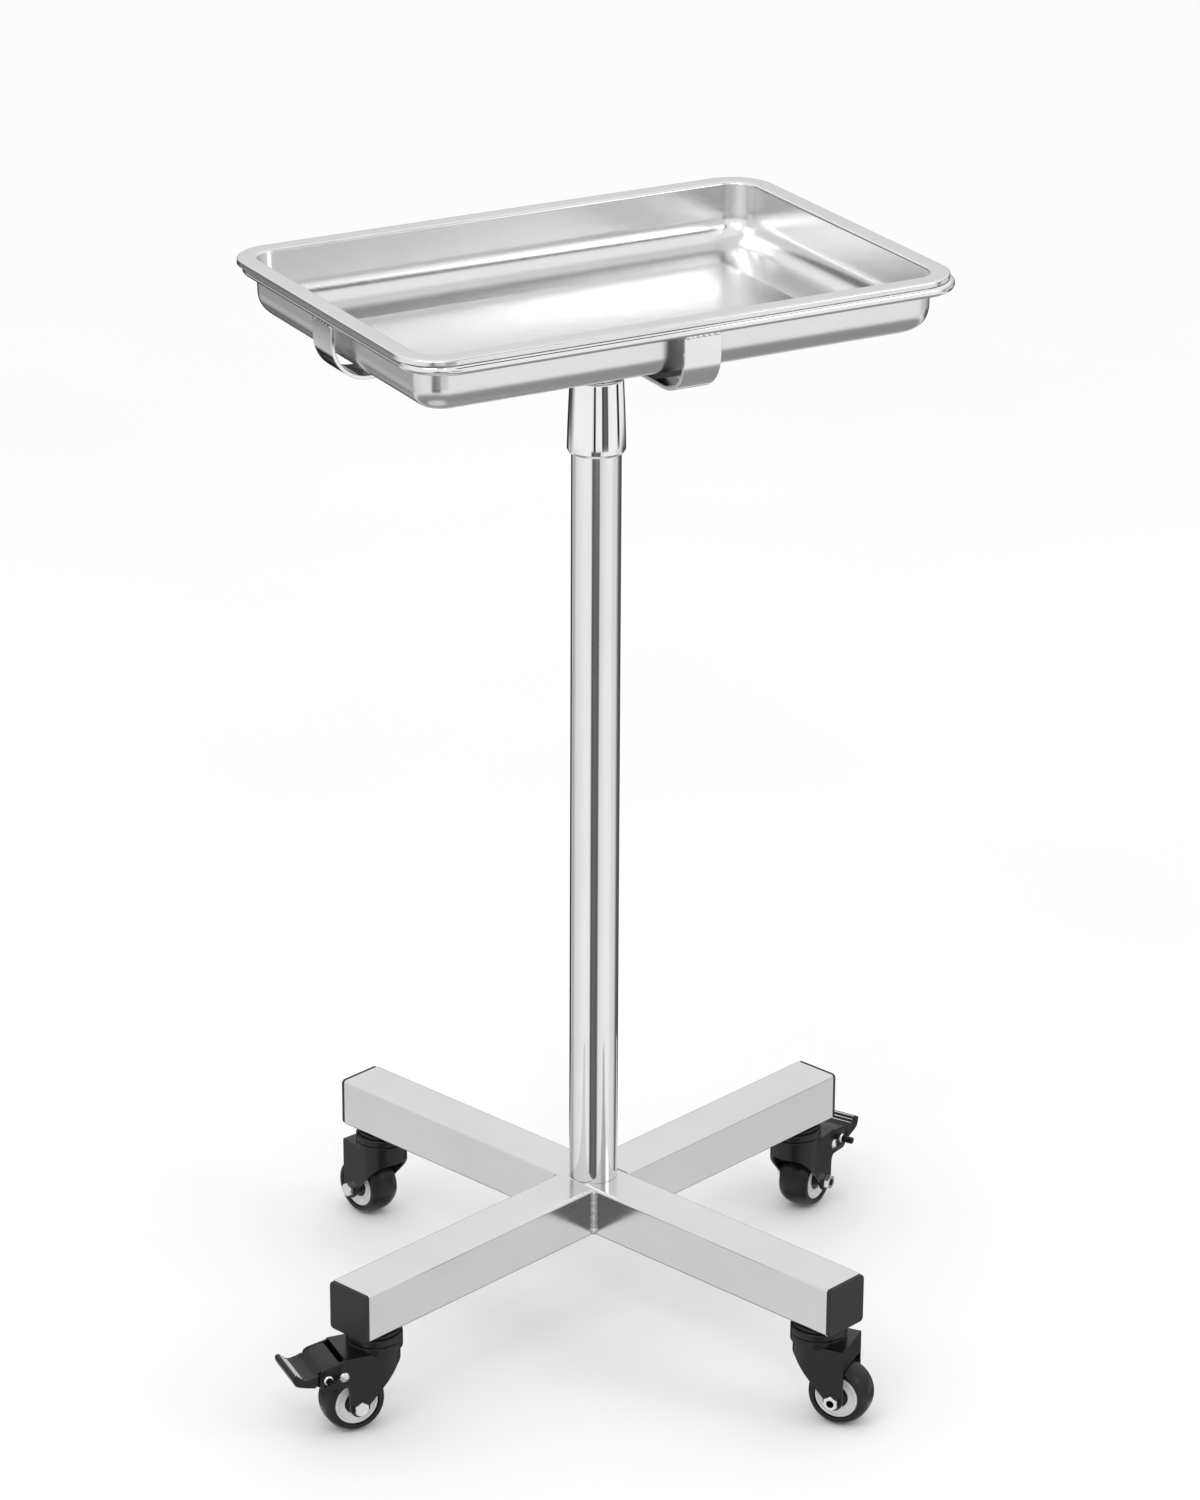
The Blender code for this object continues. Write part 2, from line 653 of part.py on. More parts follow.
def make_yoke(name, place, braked):
    """A pressed yoke: flat top with a raised race cup, a leg on each side of the wheel."""
    front = EAR_FRONT if braked else YOKE_FRONT
    cheek = YOKE_HALF - YOKE_WALL
    yoke = solid(name, prism(d_outline(YOKE_HALF, front), YOKE_LOWEST, YOKE_TOP), "black_enamel", place)
    hollow_front = CUT_FRONT if braked else front - YOKE_WALL
    cuts = [
        prism(d_outline(cheek, hollow_front), CUT_LOW, YOKE_TOP - YOKE_WALL),
        rod(BOLT_RADIUS + GAP, YOKE_TOP - PAST, CUT_HIGH),
    ]
    if braked:
        cuts.append(box((EAR_BACK, -cheek, CUT_LOW), (CUT_FRONT, cheek, CUT_HIGH)))
    else:
        room_back, room_front, room_top = WHEEL_ROOM
        cuts.append(box((room_back, -cheek, CUT_LOW), (room_front, cheek, room_top)))
    cup = cutter(name + "_cup", rod(RACE_RADIUS, YOKE_TOP - 1 * MM, CUP_TOP, 20), place)
    boolean(yoke, cutter(name + "_side", side_prism(yoke_side(braked), CUT_HALF), place), "INTERSECT")
    boolean(yoke, cup, "UNION")
    for i, shape in enumerate(cuts):
        boolean(yoke, cutter(f"{name}_cut_{i}", shape, place))
    pins = [(TRAIL, WHEEL_RADIUS, AXLE_HOLE)]
    if braked:
        pins += [(*PEDAL_PIN, PIN_RADIUS + GAP), (*SHOE_PIN, PIN_RADIUS + GAP)]
    for i, (x, z, radius) in enumerate(pins):
        axis = along_y(place @ at(x=x, z=z))
        boolean(yoke, cutter(f"{name}_bore_{i}", rod(radius, -CUT_HALF, CUT_HALF, 12), axis))


def make_wheel(name, place):
    axle = along_y(place @ at(x=TRAIL, z=WHEEL_RADIUS))
    half = WHEEL_HALF_WIDTH
    crown = [(HUB_RADIUS + GAP, -half + TYRE_BEAD), (HUB_RADIUS + SIDEWALL, -half)]
    for i in range(5):
        across = -1 + i / 2
        drop = TREAD_DROP * abs(across) ** 3
        crown.append((WHEEL_RADIUS - drop, across * (half - TREAD_EDGE)))
    crown += [(HUB_RADIUS + SIDEWALL, half), (HUB_RADIUS + GAP, half - TYRE_BEAD)]
    solid(f"{name}_tyre", turned(crown, 28), "tyre_black", axle)
    boss = YOKE_HALF - YOKE_WALL - 0.5 * MM
    side = [
        (AXLE_HOLE, boss),
        (5.0 * MM, boss),
        (5.4 * MM, HUB_FACE + 1.0 * MM),
        (8.6 * MM, HUB_FACE - 0.5 * MM),
        (9.4 * MM, HUB_FACE - 1.6 * MM),
        (14.0 * MM, HUB_FACE - 1.2 * MM),
        (15.6 * MM, HUB_FACE + 0.4 * MM),
        (HUB_RADIUS, HUB_FACE - 0.4 * MM),
    ]
    profile = side + [(radius, -height) for radius, height in reversed(side)]
    solid(f"{name}_hub", turned(profile, 16), "hub_grey", axle)


def make_axle(name, place):
    """The axle bolt with its hexagon head on the +Y side, and the nut on the other side."""
    axle = along_y(place @ at(x=TRAIL, z=WHEEL_RADIUS))
    face = YOKE_HALF + GAP
    bolt = solid(f"{name}_axle_bolt", hexagon(AXLE_HEAD, face, face + AXLE_HEAD_THICK), "zinc", axle)
    shank = cutter(f"{name}_axle_shank", rod(AXLE_RADIUS, -face - AXLE_TAIL, face + 1 * MM), axle)
    boolean(bolt, shank, "UNION")
    nut = hexagon(AXLE_HEAD, -face - AXLE_NUT_THICK, -face, AXLE_HOLE)
    solid(f"{name}_axle_nut", nut, "zinc", axle)


def make_stem(name, place):
    """The fixed upper race with its stem through the arm, and the pin that the yoke turns on."""
    seat = ARM_BOTTOM - GAP
    floor_of_tube = ARM_BOTTOM + TUBE_WALL + GAP
    profile = [
        (0, STEM_FOOT),
        (STEM_COLLAR - 1 * MM, STEM_FOOT),
        (STEM_COLLAR, STEM_FOOT + 1 * MM),
        (STEM_COLLAR, YOKE_TOP - YOKE_WALL - GAP),
        (BOLT_RADIUS, YOKE_TOP - YOKE_WALL - GAP),
        (BOLT_RADIUS, CUP_TOP + GAP),
        (RACE_RADIUS - 0.8 * MM, CUP_TOP + GAP),
        (RACE_RADIUS, CUP_TOP + 1.2 * MM),
        (RACE_RADIUS, seat - 3.4 * MM),
        (RACE_RADIUS - 1.4 * MM, seat - 1.6 * MM),
        (RACE_FLAT, seat),
        (BOLT_RADIUS, seat),
        (BOLT_RADIUS, floor_of_tube),
        (STEM_NUT, floor_of_tube),
        (STEM_NUT, floor_of_tube + STEM_NUT_THICK),
        (BOLT_RADIUS, floor_of_tube + STEM_NUT_THICK),
        (BOLT_RADIUS - 1 * MM, floor_of_tube + STEM_RISE),
        (0, floor_of_tube + STEM_RISE),
    ]
    solid(f"{name}_stem", turned(profile, 16), "black_enamel", place)


def brake_pin(name, pin, place):
    x, z = pin
    head = YOKE_HALF + GAP
    profile = [
        (0, -head - PIN_HEAD_THICK),
        (0.8 * PIN_HEAD, -head - 0.75 * PIN_HEAD_THICK),
        (PIN_HEAD, -head),
        (PIN_RADIUS, -head),
        (PIN_RADIUS, head),
        (PIN_HEAD, head),
        (0.8 * PIN_HEAD, head + 0.75 * PIN_HEAD_THICK),
        (0, head + PIN_HEAD_THICK),
    ]
    solid(name, turned(profile, 10), "zinc", along_y(place @ at(x=x, z=z)))


def scaled(outline):
    """A side outline given in millimetres, in metres."""
    return [(x * MM, z * MM) for x, z in outline]


def bore():
    """The clearance hole for a brake pin, along the axle's direction."""
    return rod(PIN_RADIUS + GAP, -CUT_HALF, CUT_HALF, 12)


def make_brake(name, place):
    """The foot pedal between the yoke's ears, and the shoe that it presses on the tyre."""
    at_pin = place @ at(x=PEDAL_PIN[0], z=PEDAL_PIN[1])
    arm = [(-11.0, 11.5), (-9.0, 12.4), (1.0, 10.4), (8.6, 5.7), (11.2, 4.6), (11.2, -3.8),
           (4.0, -6.6), (-1.0, -6.0), (-4.0, -2.0), (-5.0, 5.0)]
    toe = [(7.6, 6.2), (18.0, 3.5), (21.0, 4.0), (25.0, 8.0), (28.0, 8.6), (29.0, 7.0), (27.6, 2.0),
           (23.0, -1.0), (17.5, -3.0), (10.6, -4.4)]
    pedal = solid(f"{name}_pedal", side_prism(scaled(toe), TOE_HALF), "black_plastic", at_pin)
    inner = side_prism(scaled(arm), YOKE_HALF - YOKE_WALL - GAP)
    boolean(pedal, cutter(f"{name}_pedal_arm", inner, at_pin), "UNION")
    boolean(pedal, cutter(f"{name}_pedal_bore", bore(), along_y(at_pin)))
    brake_pin(f"{name}_pedal_pin", PEDAL_PIN, place)
    shoe_place = place @ at(x=SHOE_PIN[0], z=SHOE_PIN[1])
    blade = [(-2.0, -1.0), (3.0, 1.5), (7.5, -4.0), (12.6, -9.6), (14.6, -9.0), (14.4, -10.8),
             (11.6, -12.2), (5.6, -6.6), (0.0, -4.2), (-3.0, -3.0)]
    shoe = solid(f"{name}_brake_shoe", side_prism(scaled(blade), SHOE_HALF), "zinc", shoe_place)
    barrel = rod(SHOE_BARREL, -SHOE_BARREL_HALF, SHOE_BARREL_HALF, 12)
    barrel = cutter(f"{name}_shoe_barrel", barrel, along_y(shoe_place))
    boolean(shoe, barrel, "UNION")
    boolean(shoe, cutter(f"{name}_shoe_bore", bore(), along_y(shoe_place)))
    brake_pin(f"{name}_shoe_pin", SHOE_PIN, place)


def make_casters():
    for side, (distance, angle, trail, braked) in CASTERS.items():
        name = f"caster_{side}"
        x = distance * math.cos(math.radians(angle))
        y = distance * math.sin(math.radians(angle))
        place = at(x, y, 0.0, trail)
        make_stem(name, place)
        make_yoke(f"{name}_yoke", place, braked)
        make_wheel(name, place)
        make_axle(name, place)
        if braked:
            make_brake(name, place)


clear_scene()
make_base()
make_column()
make_lift_tube()
make_collar()
make_tray_frame()
make_tray()
make_casters()
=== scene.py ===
import json
import math
import bpy
from mathutils import Euler, Matrix, Vector


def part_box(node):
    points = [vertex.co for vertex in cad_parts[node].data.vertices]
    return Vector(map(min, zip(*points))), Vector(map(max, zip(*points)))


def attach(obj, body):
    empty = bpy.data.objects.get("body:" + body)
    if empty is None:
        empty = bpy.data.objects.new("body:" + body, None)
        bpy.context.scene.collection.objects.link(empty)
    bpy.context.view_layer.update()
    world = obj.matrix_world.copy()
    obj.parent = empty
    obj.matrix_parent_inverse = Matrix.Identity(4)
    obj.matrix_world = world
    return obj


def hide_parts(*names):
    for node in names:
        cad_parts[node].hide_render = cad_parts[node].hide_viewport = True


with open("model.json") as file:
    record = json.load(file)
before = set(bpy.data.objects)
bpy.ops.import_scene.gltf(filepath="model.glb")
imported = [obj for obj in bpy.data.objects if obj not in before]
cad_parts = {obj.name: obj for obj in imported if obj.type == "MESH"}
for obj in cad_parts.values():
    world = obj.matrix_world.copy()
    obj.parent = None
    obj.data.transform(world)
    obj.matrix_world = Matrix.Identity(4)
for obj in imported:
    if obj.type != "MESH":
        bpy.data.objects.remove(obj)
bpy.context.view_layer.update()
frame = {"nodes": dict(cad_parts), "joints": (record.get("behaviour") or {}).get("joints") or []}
nodes = frame["nodes"]
joints = {joint["name"]: joint for joint in frame["joints"]}
mm = 0.001
print("frame loaded:", len(nodes), "solids")


# modelling helpers

def select(piece):
    bpy.ops.object.select_all(action="DESELECT")
    piece.select_set(True)
    bpy.context.view_layer.objects.active = piece


def arc(centre, radius, start, end, steps):
    turns = [math.radians(start + (end - start) * i / steps) for i in range(steps + 1)]
    return [(centre[0] + radius * math.cos(a), centre[1] + radius * math.sin(a)) for a in turns]


def drawLine(name, points):
    # a plane shrunk to one point, then that point extruded from corner to corner
    bpy.ops.object.select_all(action="DESELECT")
    bpy.ops.mesh.primitive_plane_add(size=mm, location=points[0])
    piece = bpy.context.object
    piece.name = name
    bpy.ops.object.mode_set(mode="EDIT")
    bpy.ops.mesh.select_mode(type="VERT")
    bpy.ops.mesh.select_all(action="SELECT")
    bpy.ops.mesh.merge(type="CENTER")
    for a, b in zip(points, points[1:]):
        step = tuple(Vector(b) - Vector(a))
        bpy.ops.mesh.extrude_region_move(TRANSFORM_OT_translate={"value": step})
    bpy.ops.mesh.select_all(action="SELECT")
    return piece


def tidyMesh(piece):
    bpy.ops.object.mode_set(mode="EDIT")
    bpy.ops.mesh.select_all(action="SELECT")
    bpy.ops.mesh.remove_doubles(threshold=0.002 * mm)
    bpy.ops.mesh.normals_make_consistent(inside=False)
    bpy.ops.object.mode_set(mode="OBJECT")
    select(piece)
    bpy.ops.object.transform_apply(location=True, rotation=True, scale=True)


def lathe(name, profile, steps=96):
    # (radius, height) points, closed unless both ends are on the axis
    points = [(radius, 0.0, height) for radius, height in profile]
    if profile[0][0] > 0:
        points.append(points[0])
    piece = drawLine(name, points)
    bpy.ops.mesh.spin(steps=steps, angle=math.tau, center=(0, 0, 0), axis=(0, 0, 1))
    tidyMesh(piece)
    return piece


def slab(name, outline, halfWidth):
    # a side outline of (x, z) points, made thick along Y
    piece = drawLine(name, [(x, -halfWidth, z) for x, z in outline])
    bpy.ops.mesh.edge_face_add()
    bpy.ops.mesh.extrude_region_move(TRANSFORM_OT_translate={"value": (0, 2 * halfWidth, 0)})
    tidyMesh(piece)
    return piece


def block(name, low, high):
    outline = [(low[0], low[2]), (high[0], low[2]), (high[0], high[2]), (low[0], high[2])]
    piece = slab(name, outline, (high[1] - low[1]) / 2)
    piece.data.transform(Matrix.Translation((0, (low[1] + high[1]) / 2, 0)))
    return piece


def carve(piece, tool, operation="DIFFERENCE"):
    modifier = piece.modifiers.new("carve", "BOOLEAN")
    modifier.operation = operation
    modifier.object = tool
    select(piece)
    bpy.ops.object.modifier_apply(modifier=modifier.name)
    bpy.data.objects.remove(tool, do_unlink=True)


def soften(piece, width, segments=2, angle=35):
    modifier = piece.modifiers.new("soften", "BEVEL")
    modifier.width = width
    modifier.segments = segments
    modifier.limit_method = "ANGLE"
    modifier.angle_limit = math.radians(angle)
    modifier.use_clamp_overlap = True
    modifier.harden_normals = False
    select(piece)
    bpy.ops.object.modifier_apply(modifier=modifier.name)


def smooth(piece, angle=40):
    select(piece)
    bpy.ops.object.shade_smooth_by_angle(angle=math.radians(angle))


def evenShading(piece):
    # large flat faces keep their own direction, and only the small rounds between them blend
    modifier = piece.modifiers.new("even", "WEIGHTED_NORMAL")
    modifier.mode = "FACE_AREA"
    modifier.weight = 100
    modifier.keep_sharp = True
    select(piece)
    bpy.ops.object.modifier_apply(modifier=modifier.name)


def turnPiece(piece, matrix):
    piece.data.transform(matrix)
    if matrix.determinant() < 0:
        piece.data.flip_normals()


alongY = Matrix.Rotation(math.radians(-90), 4, "X")


def finishPiece(piece, name, body, material, replaced=(), angle=40):
    piece.name = name
    piece.data.name = name
    smooth(piece, angle)
    evenShading(piece)
    piece.data.materials.clear()
    piece.data.materials.append(material)
    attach(piece, body)
    if replaced:
        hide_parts(*replaced)
    return piece


# materials

def addNode(tree, kind, inputs=None, **settings):
    made = tree.nodes.new(kind)
    for key, value in settings.items():
        setattr(made, key, value)
    for key, value in (inputs or {}).items():
        if isinstance(value, bpy.types.NodeSocket):
            tree.links.new(value, made.inputs[key])
        else:
            made.inputs[key].default_value = value
    return made


def grainAlong(tree, coordinates, turn, lengths, detail=3.0):
    # noise whose grains have these lengths in metres, along the piece's own directions
    place = addNode(tree, "ShaderNodeMapping", {"Vector": coordinates, "Rotation": turn, "Scale": lengths},
                    vector_type="TEXTURE")
    return addNode(tree, "ShaderNodeTexNoise", {"Vector": place.outputs["Vector"], "Scale": 1.0,
                                                "Detail": detail, "Roughness": 0.6}).outputs["Fac"]


def between(tree, value, low, high, fromLow=0.3, fromHigh=0.7):
    return addNode(tree, "ShaderNodeMapRange", {"Value": value, "From Min": fromLow, "From Max": fromHigh,
                                                "To Min": low, "To Max": high}).outputs["Result"]


def blendColours(tree, amount, first, second):
    made = addNode(tree, "ShaderNodeMix", {"Factor": amount}, data_type="RGBA")
    for socket, value in ((made.inputs[6], first), (made.inputs[7], second)):
        if isinstance(value, bpy.types.NodeSocket):
            tree.links.new(value, socket)
        else:
            socket.default_value = (*value, 1.0)
    return made.outputs[2]


def newMaterial(name, metallic, coat=0.0, specular=0.5):
    made = bpy.data.materials.new(name)
    made.use_nodes = True
    tree = made.node_tree
    shader = tree.nodes["Principled BSDF"]
    shader.inputs["Metallic"].default_value = metallic
    shader.inputs["Coat Weight"].default_value = coat
    shader.inputs["Coat Roughness"].default_value = 0.08
    shader.inputs["Specular IOR Level"].default_value = specular
    coordinates = addNode(tree, "ShaderNodeTexCoord").outputs["Object"]
    return made, tree, shader, coordinates


def multiply(tree, a, b):
    return addNode(tree, "ShaderNodeMath", {0: a, 1: b}, operation="MULTIPLY").outputs[0]


def steel(name, tone, roughness, grain, turn=(0, 0, 0), spread=0.08, bump=0.02, scratch=0.06):
    # metal with a brushed grain, slow changes of tone and a few fine scratches across it
    made, tree, shader, coordinates = newMaterial(name, 1.0)
    streaks = grainAlong(tree, coordinates, turn, grain)
    clouds = grainAlong(tree, coordinates, turn, (0.09, 0.09, 0.09), 2.0)
    hairs = grainAlong(tree, coordinates, (0.4, 0.3, turn[2] + 0.8), (0.05, 0.0006, 0.0006), 1.0)
    marks = between(tree, hairs, 0.0, 1.0, 0.69, 0.74)
    dark = tuple(c * 0.93 for c in tone)
    soft = blendColours(tree, between(tree, clouds, 0.0, 1.0), dark, tone)
    worn = blendColours(tree, between(tree, streaks, 0.0, 0.35), soft, tuple(c * 0.86 for c in tone))
    tree.links.new(worn, shader.inputs["Base Color"])
    base = between(tree, streaks, roughness - spread / 2, roughness + spread / 2)
    more = multiply(tree, marks, scratch)
    total = addNode(tree, "ShaderNodeMath", {0: base, 1: more}, operation="ADD").outputs[0]
    tree.links.new(total, shader.inputs["Roughness"])
    relief = addNode(tree, "ShaderNodeBump", {"Height": streaks, "Strength": bump, "Distance": 0.05 * mm})
    tree.links.new(relief.outputs["Normal"], shader.inputs["Normal"])
    return made


def blackFinish(name, tone, roughness, grain, bump, wear, specular=0.3):
    # moulded or sprayed black with a fine skin, slow changes of gloss and a few small lighter scuffs
    made, tree, shader, coordinates = newMaterial(name, 0.0, 0.0, specular)
    skin = grainAlong(tree, coordinates, (0, 0, 0), grain, 2.0)
    clouds = grainAlong(tree, coordinates, (0.3, 0.5, 0.2), (0.011, 0.011, 0.011), 4.0)
    scuffs = grainAlong(tree, coordinates, (0.5, 0.2, 0.9), (0.005, 0.0007, 0.0007), 2.0)
    lighter = tuple(c * 1.3 + 0.0005 for c in tone)
    cloudy = blendColours(tree, between(tree, clouds, 0.0, 0.8), tone, lighter)
    worn = blendColours(tree, between(tree, scuffs, 0.0, wear, 0.70, 0.80), cloudy, (0.10, 0.10, 0.10))
    tree.links.new(worn, shader.inputs["Base Color"])
    tree.links.new(between(tree, clouds, roughness - 0.02, roughness + 0.03), shader.inputs["Roughness"])
    relief = addNode(tree, "ShaderNodeBump", {"Height": skin, "Strength": bump, "Distance": 0.08 * mm})
    tree.links.new(relief.outputs["Normal"], shader.inputs["Normal"])
    return made


def paleFinish(name, tone, roughness, specular=0.5):
    # pale moulded plastic, slightly cloudy, with grime in the fine skin
    made, tree, shader, coordinates = newMaterial(name, 0.0, 0.0, specular)
    skin = grainAlong(tree, coordinates, (0, 0, 0), (0.0007,) * 3, 2.0)
    clouds = grainAlong(tree, coordinates, (0.2, 0.1, 0.4), (0.008,) * 3, 3.0)
    shade = blendColours(tree, between(tree, clouds, 0.0, 1.0), tuple(c * 0.9 for c in tone), tone)
    tree.links.new(shade, shader.inputs["Base Color"])
    tree.links.new(between(tree, skin, roughness - 0.06, roughness + 0.06), shader.inputs["Roughness"])
    relief = addNode(tree, "ShaderNodeBump", {"Height": skin, "Strength": 0.05, "Distance": 0.05 * mm})
    tree.links.new(relief.outputs["Normal"], shader.inputs["Normal"])
    return made


steelTones = {"tube": (0.74, 0.74, 0.74), "tray": (0.83, 0.83, 0.83), "column": (0.88, 0.88, 0.885),
              "chrome": (0.93, 0.93, 0.94), "zinc": (0.80, 0.80, 0.79), "weld": (0.70, 0.70, 0.69)}
armAngles = {"long": math.radians(107.7), "short": math.radians(17.7)}
longSteel = steel("longTubeSteel", steelTones["tube"], 0.17, (0.12, 0.0005, 0.0005), (0, 0, armAngles["long"]))
shortSteel = steel("shortTubeSteel", steelTones["tube"], 0.17, (0.12, 0.0005, 0.0005), (0, 0, armAngles["short"]))
traySteel = steel("traySteel", steelTones["tray"], 0.21, (0.006, 0.0009, 0.0009), spread=0.06, bump=0.05)
polishedSteel = steel("polishedSteel", steelTones["column"], 0.10, (0.0006, 0.0006, 0.14), spread=0.04, bump=0.01)
ringSteel = steel("ringSteel", steelTones["column"], 0.07, (0.03, 0.0008, 0.0008), spread=0.05, bump=0.01)
chromeFinish = steel("collarChrome", steelTones["chrome"], 0.04, (0.003, 0.003, 0.02), spread=0.02, bump=0.005,
                     scratch=0.1)
zincFinish = steel("zincPlate", steelTones["zinc"], 0.24, (0.0011, 0.0011, 0.0011), spread=0.12, bump=0.06)
weldSteel = steel("weldSteel", steelTones["weld"], 0.27, (0.0012, 0.0012, 0.0012), spread=0.2, bump=0.25)
blackEnamel = blackFinish("blackEnamel", (0.0055, 0.0055, 0.006), 0.26, (0.0007,) * 3, 0.05, 0.6, 0.32)
plugPlastic = blackFinish("plugPlastic", (0.018, 0.018, 0.019), 0.50, (0.0006,) * 3, 0.6, 0.4, 0.30)
pedalPlastic = blackFinish("pedalPlastic", (0.005, 0.005, 0.0055), 0.26, (0.0006,) * 3, 0.06, 0.8, 0.30)
tyreRubber = blackFinish("tyreRubber", (0.008, 0.008, 0.0085), 0.30, (0.0009,) * 3, 0.08, 0.3, 0.28)
hubPlastic = paleFinish("hubPlastic", (0.70, 0.70, 0.71), 0.30)
guidePlastic = paleFinish("guidePlastic", (0.84, 0.84, 0.80), 0.42)
print("materials made")


# base cross: square tubes, plugs and corner welds

tubeSettings = {"side": 40.0 * mm, "corner": 2.3 * mm, "wall": 1.5 * mm, "middle": 103.5 * mm,
                "longReach": 262.7 * mm, "shortStart": 20.02 * mm, "shortReach": 267.0 * mm}


def squareTube(name, start, end, angle):
    half = tubeSettings["side"] / 2
    middle = tubeSettings["middle"]
    tube = block(name, (start, -half, middle - half), (end, half, middle + half))
    bpy.ops.object.mode_set(mode="EDIT")
    bpy.ops.mesh.select_mode(type="FACE")
    bpy.ops.mesh.select_all(action="DESELECT")
    bpy.ops.object.mode_set(mode="OBJECT")
    for face in tube.data.polygons:
        face.select = abs(face.normal.x) > 0.9
    bpy.ops.object.mode_set(mode="EDIT")
    bpy.ops.mesh.delete(type="FACE")
    bpy.ops.mesh.select_mode(type="EDGE")
    bpy.ops.mesh.select_all(action="DESELECT")
    bpy.ops.object.mode_set(mode="OBJECT")
    for edge in tube.data.edges:
        a, b = (tube.data.vertices[i].co for i in edge.vertices)
        edge.select = abs(a.x - b.x) > half
    bpy.ops.object.mode_set(mode="EDIT")
    bpy.ops.mesh.bevel(offset=tubeSettings["corner"], segments=6, affect="EDGES", profile=0.5)
    bpy.ops.object.mode_set(mode="OBJECT")
    wall = tube.modifiers.new("wall", "SOLIDIFY")
    wall.thickness = tubeSettings["wall"]
    wall.offset = -1.0
    wall.use_even_offset = True
    select(tube)
    bpy.ops.object.modifier_apply(modifier=wall.name)
    turnPiece(tube, Matrix.Rotation(angle, 4, "Z"))
    return tube


plugSettings = {"head": 3.4 * mm, "corner": 3.6 * mm, "round": 1.1 * mm, "gap": 0.05 * mm, "spigot": 9 * mm}


def endPlug(name, end, angle):
    half = tubeSettings["side"] / 2
    middle = tubeSettings["middle"]
    start = end + plugSettings["gap"]
    plug = block(name, (start, -half, middle - half), (start + plugSettings["head"], half, middle + half))
    bpy.ops.object.mode_set(mode="EDIT")
    bpy.ops.mesh.select_mode(type="EDGE")
    bpy.ops.mesh.select_all(action="DESELECT")
    bpy.ops.object.mode_set(mode="OBJECT")
    for edge in plug.data.edges:
        a, b = (plug.data.vertices[i].co for i in edge.vertices)
        edge.select = abs(a.x - b.x) > mm
    bpy.ops.object.mode_set(mode="EDIT")
    bpy.ops.mesh.bevel(offset=plugSettings["corner"], segments=6, affect="EDGES")
    bpy.ops.mesh.select_mode(type="FACE")
    bpy.ops.mesh.select_all(action="DESELECT")
    bpy.ops.object.mode_set(mode="OBJECT")
    for face in plug.data.polygons:
        face.select = face.normal.x > 0.9
    bpy.ops.object.mode_set(mode="EDIT")
    # rounded rim
    bpy.ops.mesh.bevel(offset=plugSettings["round"], segments=4, affect="EDGES")
    bpy.ops.object.mode_set(mode="OBJECT")
    inner = half - tubeSettings["wall"] - 0.3 * mm
    spigot = block(name + "Spigot", (end - plugSettings["spigot"], -inner, middle - inner),
                   (start + mm, inner, middle + inner))
    carve(plug, spigot, "UNION")
    turnPiece(plug, Matrix.Rotation(angle, 4, "Z"))
    return plug


beadSettings = {"radius": 2.1 * mm, "ripples": 11, "sides": 14}


def weldBead(name, length, wobble=0.32):
    # a rippled bead along Z, thicker at its start and end
    radius = beadSettings["radius"]
    count = beadSettings["ripples"]
    profile = [(0.0, 0.0)]
    for i in range(count * 2 + 1):
        swell = 1.0 + wobble * math.sin(2.4 * i) * math.cos(0.7 * i)
        ends = 1.35 if i in (1, 2, count * 2 - 1) else 1.0
        profile.append((radius * swell * ends * (0.7 if i % 2 else 1.0), length * (i + 0.5) / (count * 2 + 1)))
    profile.append((0.0, length))
    return lathe(name, profile, beadSettings["sides"])


def makeBase():
    settings = tubeSettings
    longTube = squareTube("longTube", -settings["longReach"], settings["longReach"], armAngles["long"])
    finishPiece(longTube, "longTube", "base", longSteel, ["base_long_tube"])
    half = settings["side"] / 2
    for side, turn in (("right", 0.0), ("left", math.pi)):
        angle = armAngles["short"] + turn
        tube = squareTube(side + "Tube", settings["shortStart"], settings["shortReach"], angle)
        finishPiece(tube, side + "Tube", "base", shortSteel, [f"base_{side}_tube"])
        plug = endPlug(side + "Plug", settings["shortReach"], angle)
        finishPiece(plug, side + "Plug", "base", plugPlastic, [f"end_plug_{side}"])
        beads = []
        for hand in (-1, 1):
            bead = weldBead(f"{side}Bead{hand + 1}", settings["side"] - 1.2 * mm)
            low = settings["middle"] - half + 0.6 * mm
            bead.data.transform(Matrix.Rotation(angle, 4, "Z") @ Matrix.Translation(
                (half + 0.5 * mm, hand * (half + 0.5 * mm), low)))
            beads.append(bead)
        for number, bead in enumerate(beads):
            finishPiece(bead, f"{side}Weld{number + 1}", "base", weldSteel,
                        [f"base_{side}_weld"], 60)
    for side, turn in (("back", 0.0), ("front", math.pi)):
        plug = endPlug(side + "Plug", settings["longReach"], armAngles["long"] + turn)
        finishPiece(plug, side + "Plug", "base", plugPlastic, [f"end_plug_{side}"])


makeBase()
print("base made")


# column, lift tube and lock collar

columnSettings = {"radius": 19.05 * mm, "wall": 1.5 * mm, "foot": 123.55 * mm, "top": 742.0 * mm,
                  "liftRadius": 16.0 * mm, "liftWall": 1.5 * mm, "liftBottom": 183.5 * mm, "liftTop": 809.5 * mm}
collarSettings = {"bottom": 727.5 * mm, "top": 785.0 * mm, "skirt": 19.4 * mm, "widest": 22.3 * mm,
                  "chamfer": 2.0 * mm, "neck": 16.5 * mm, "topRadius": 20.4 * mm}


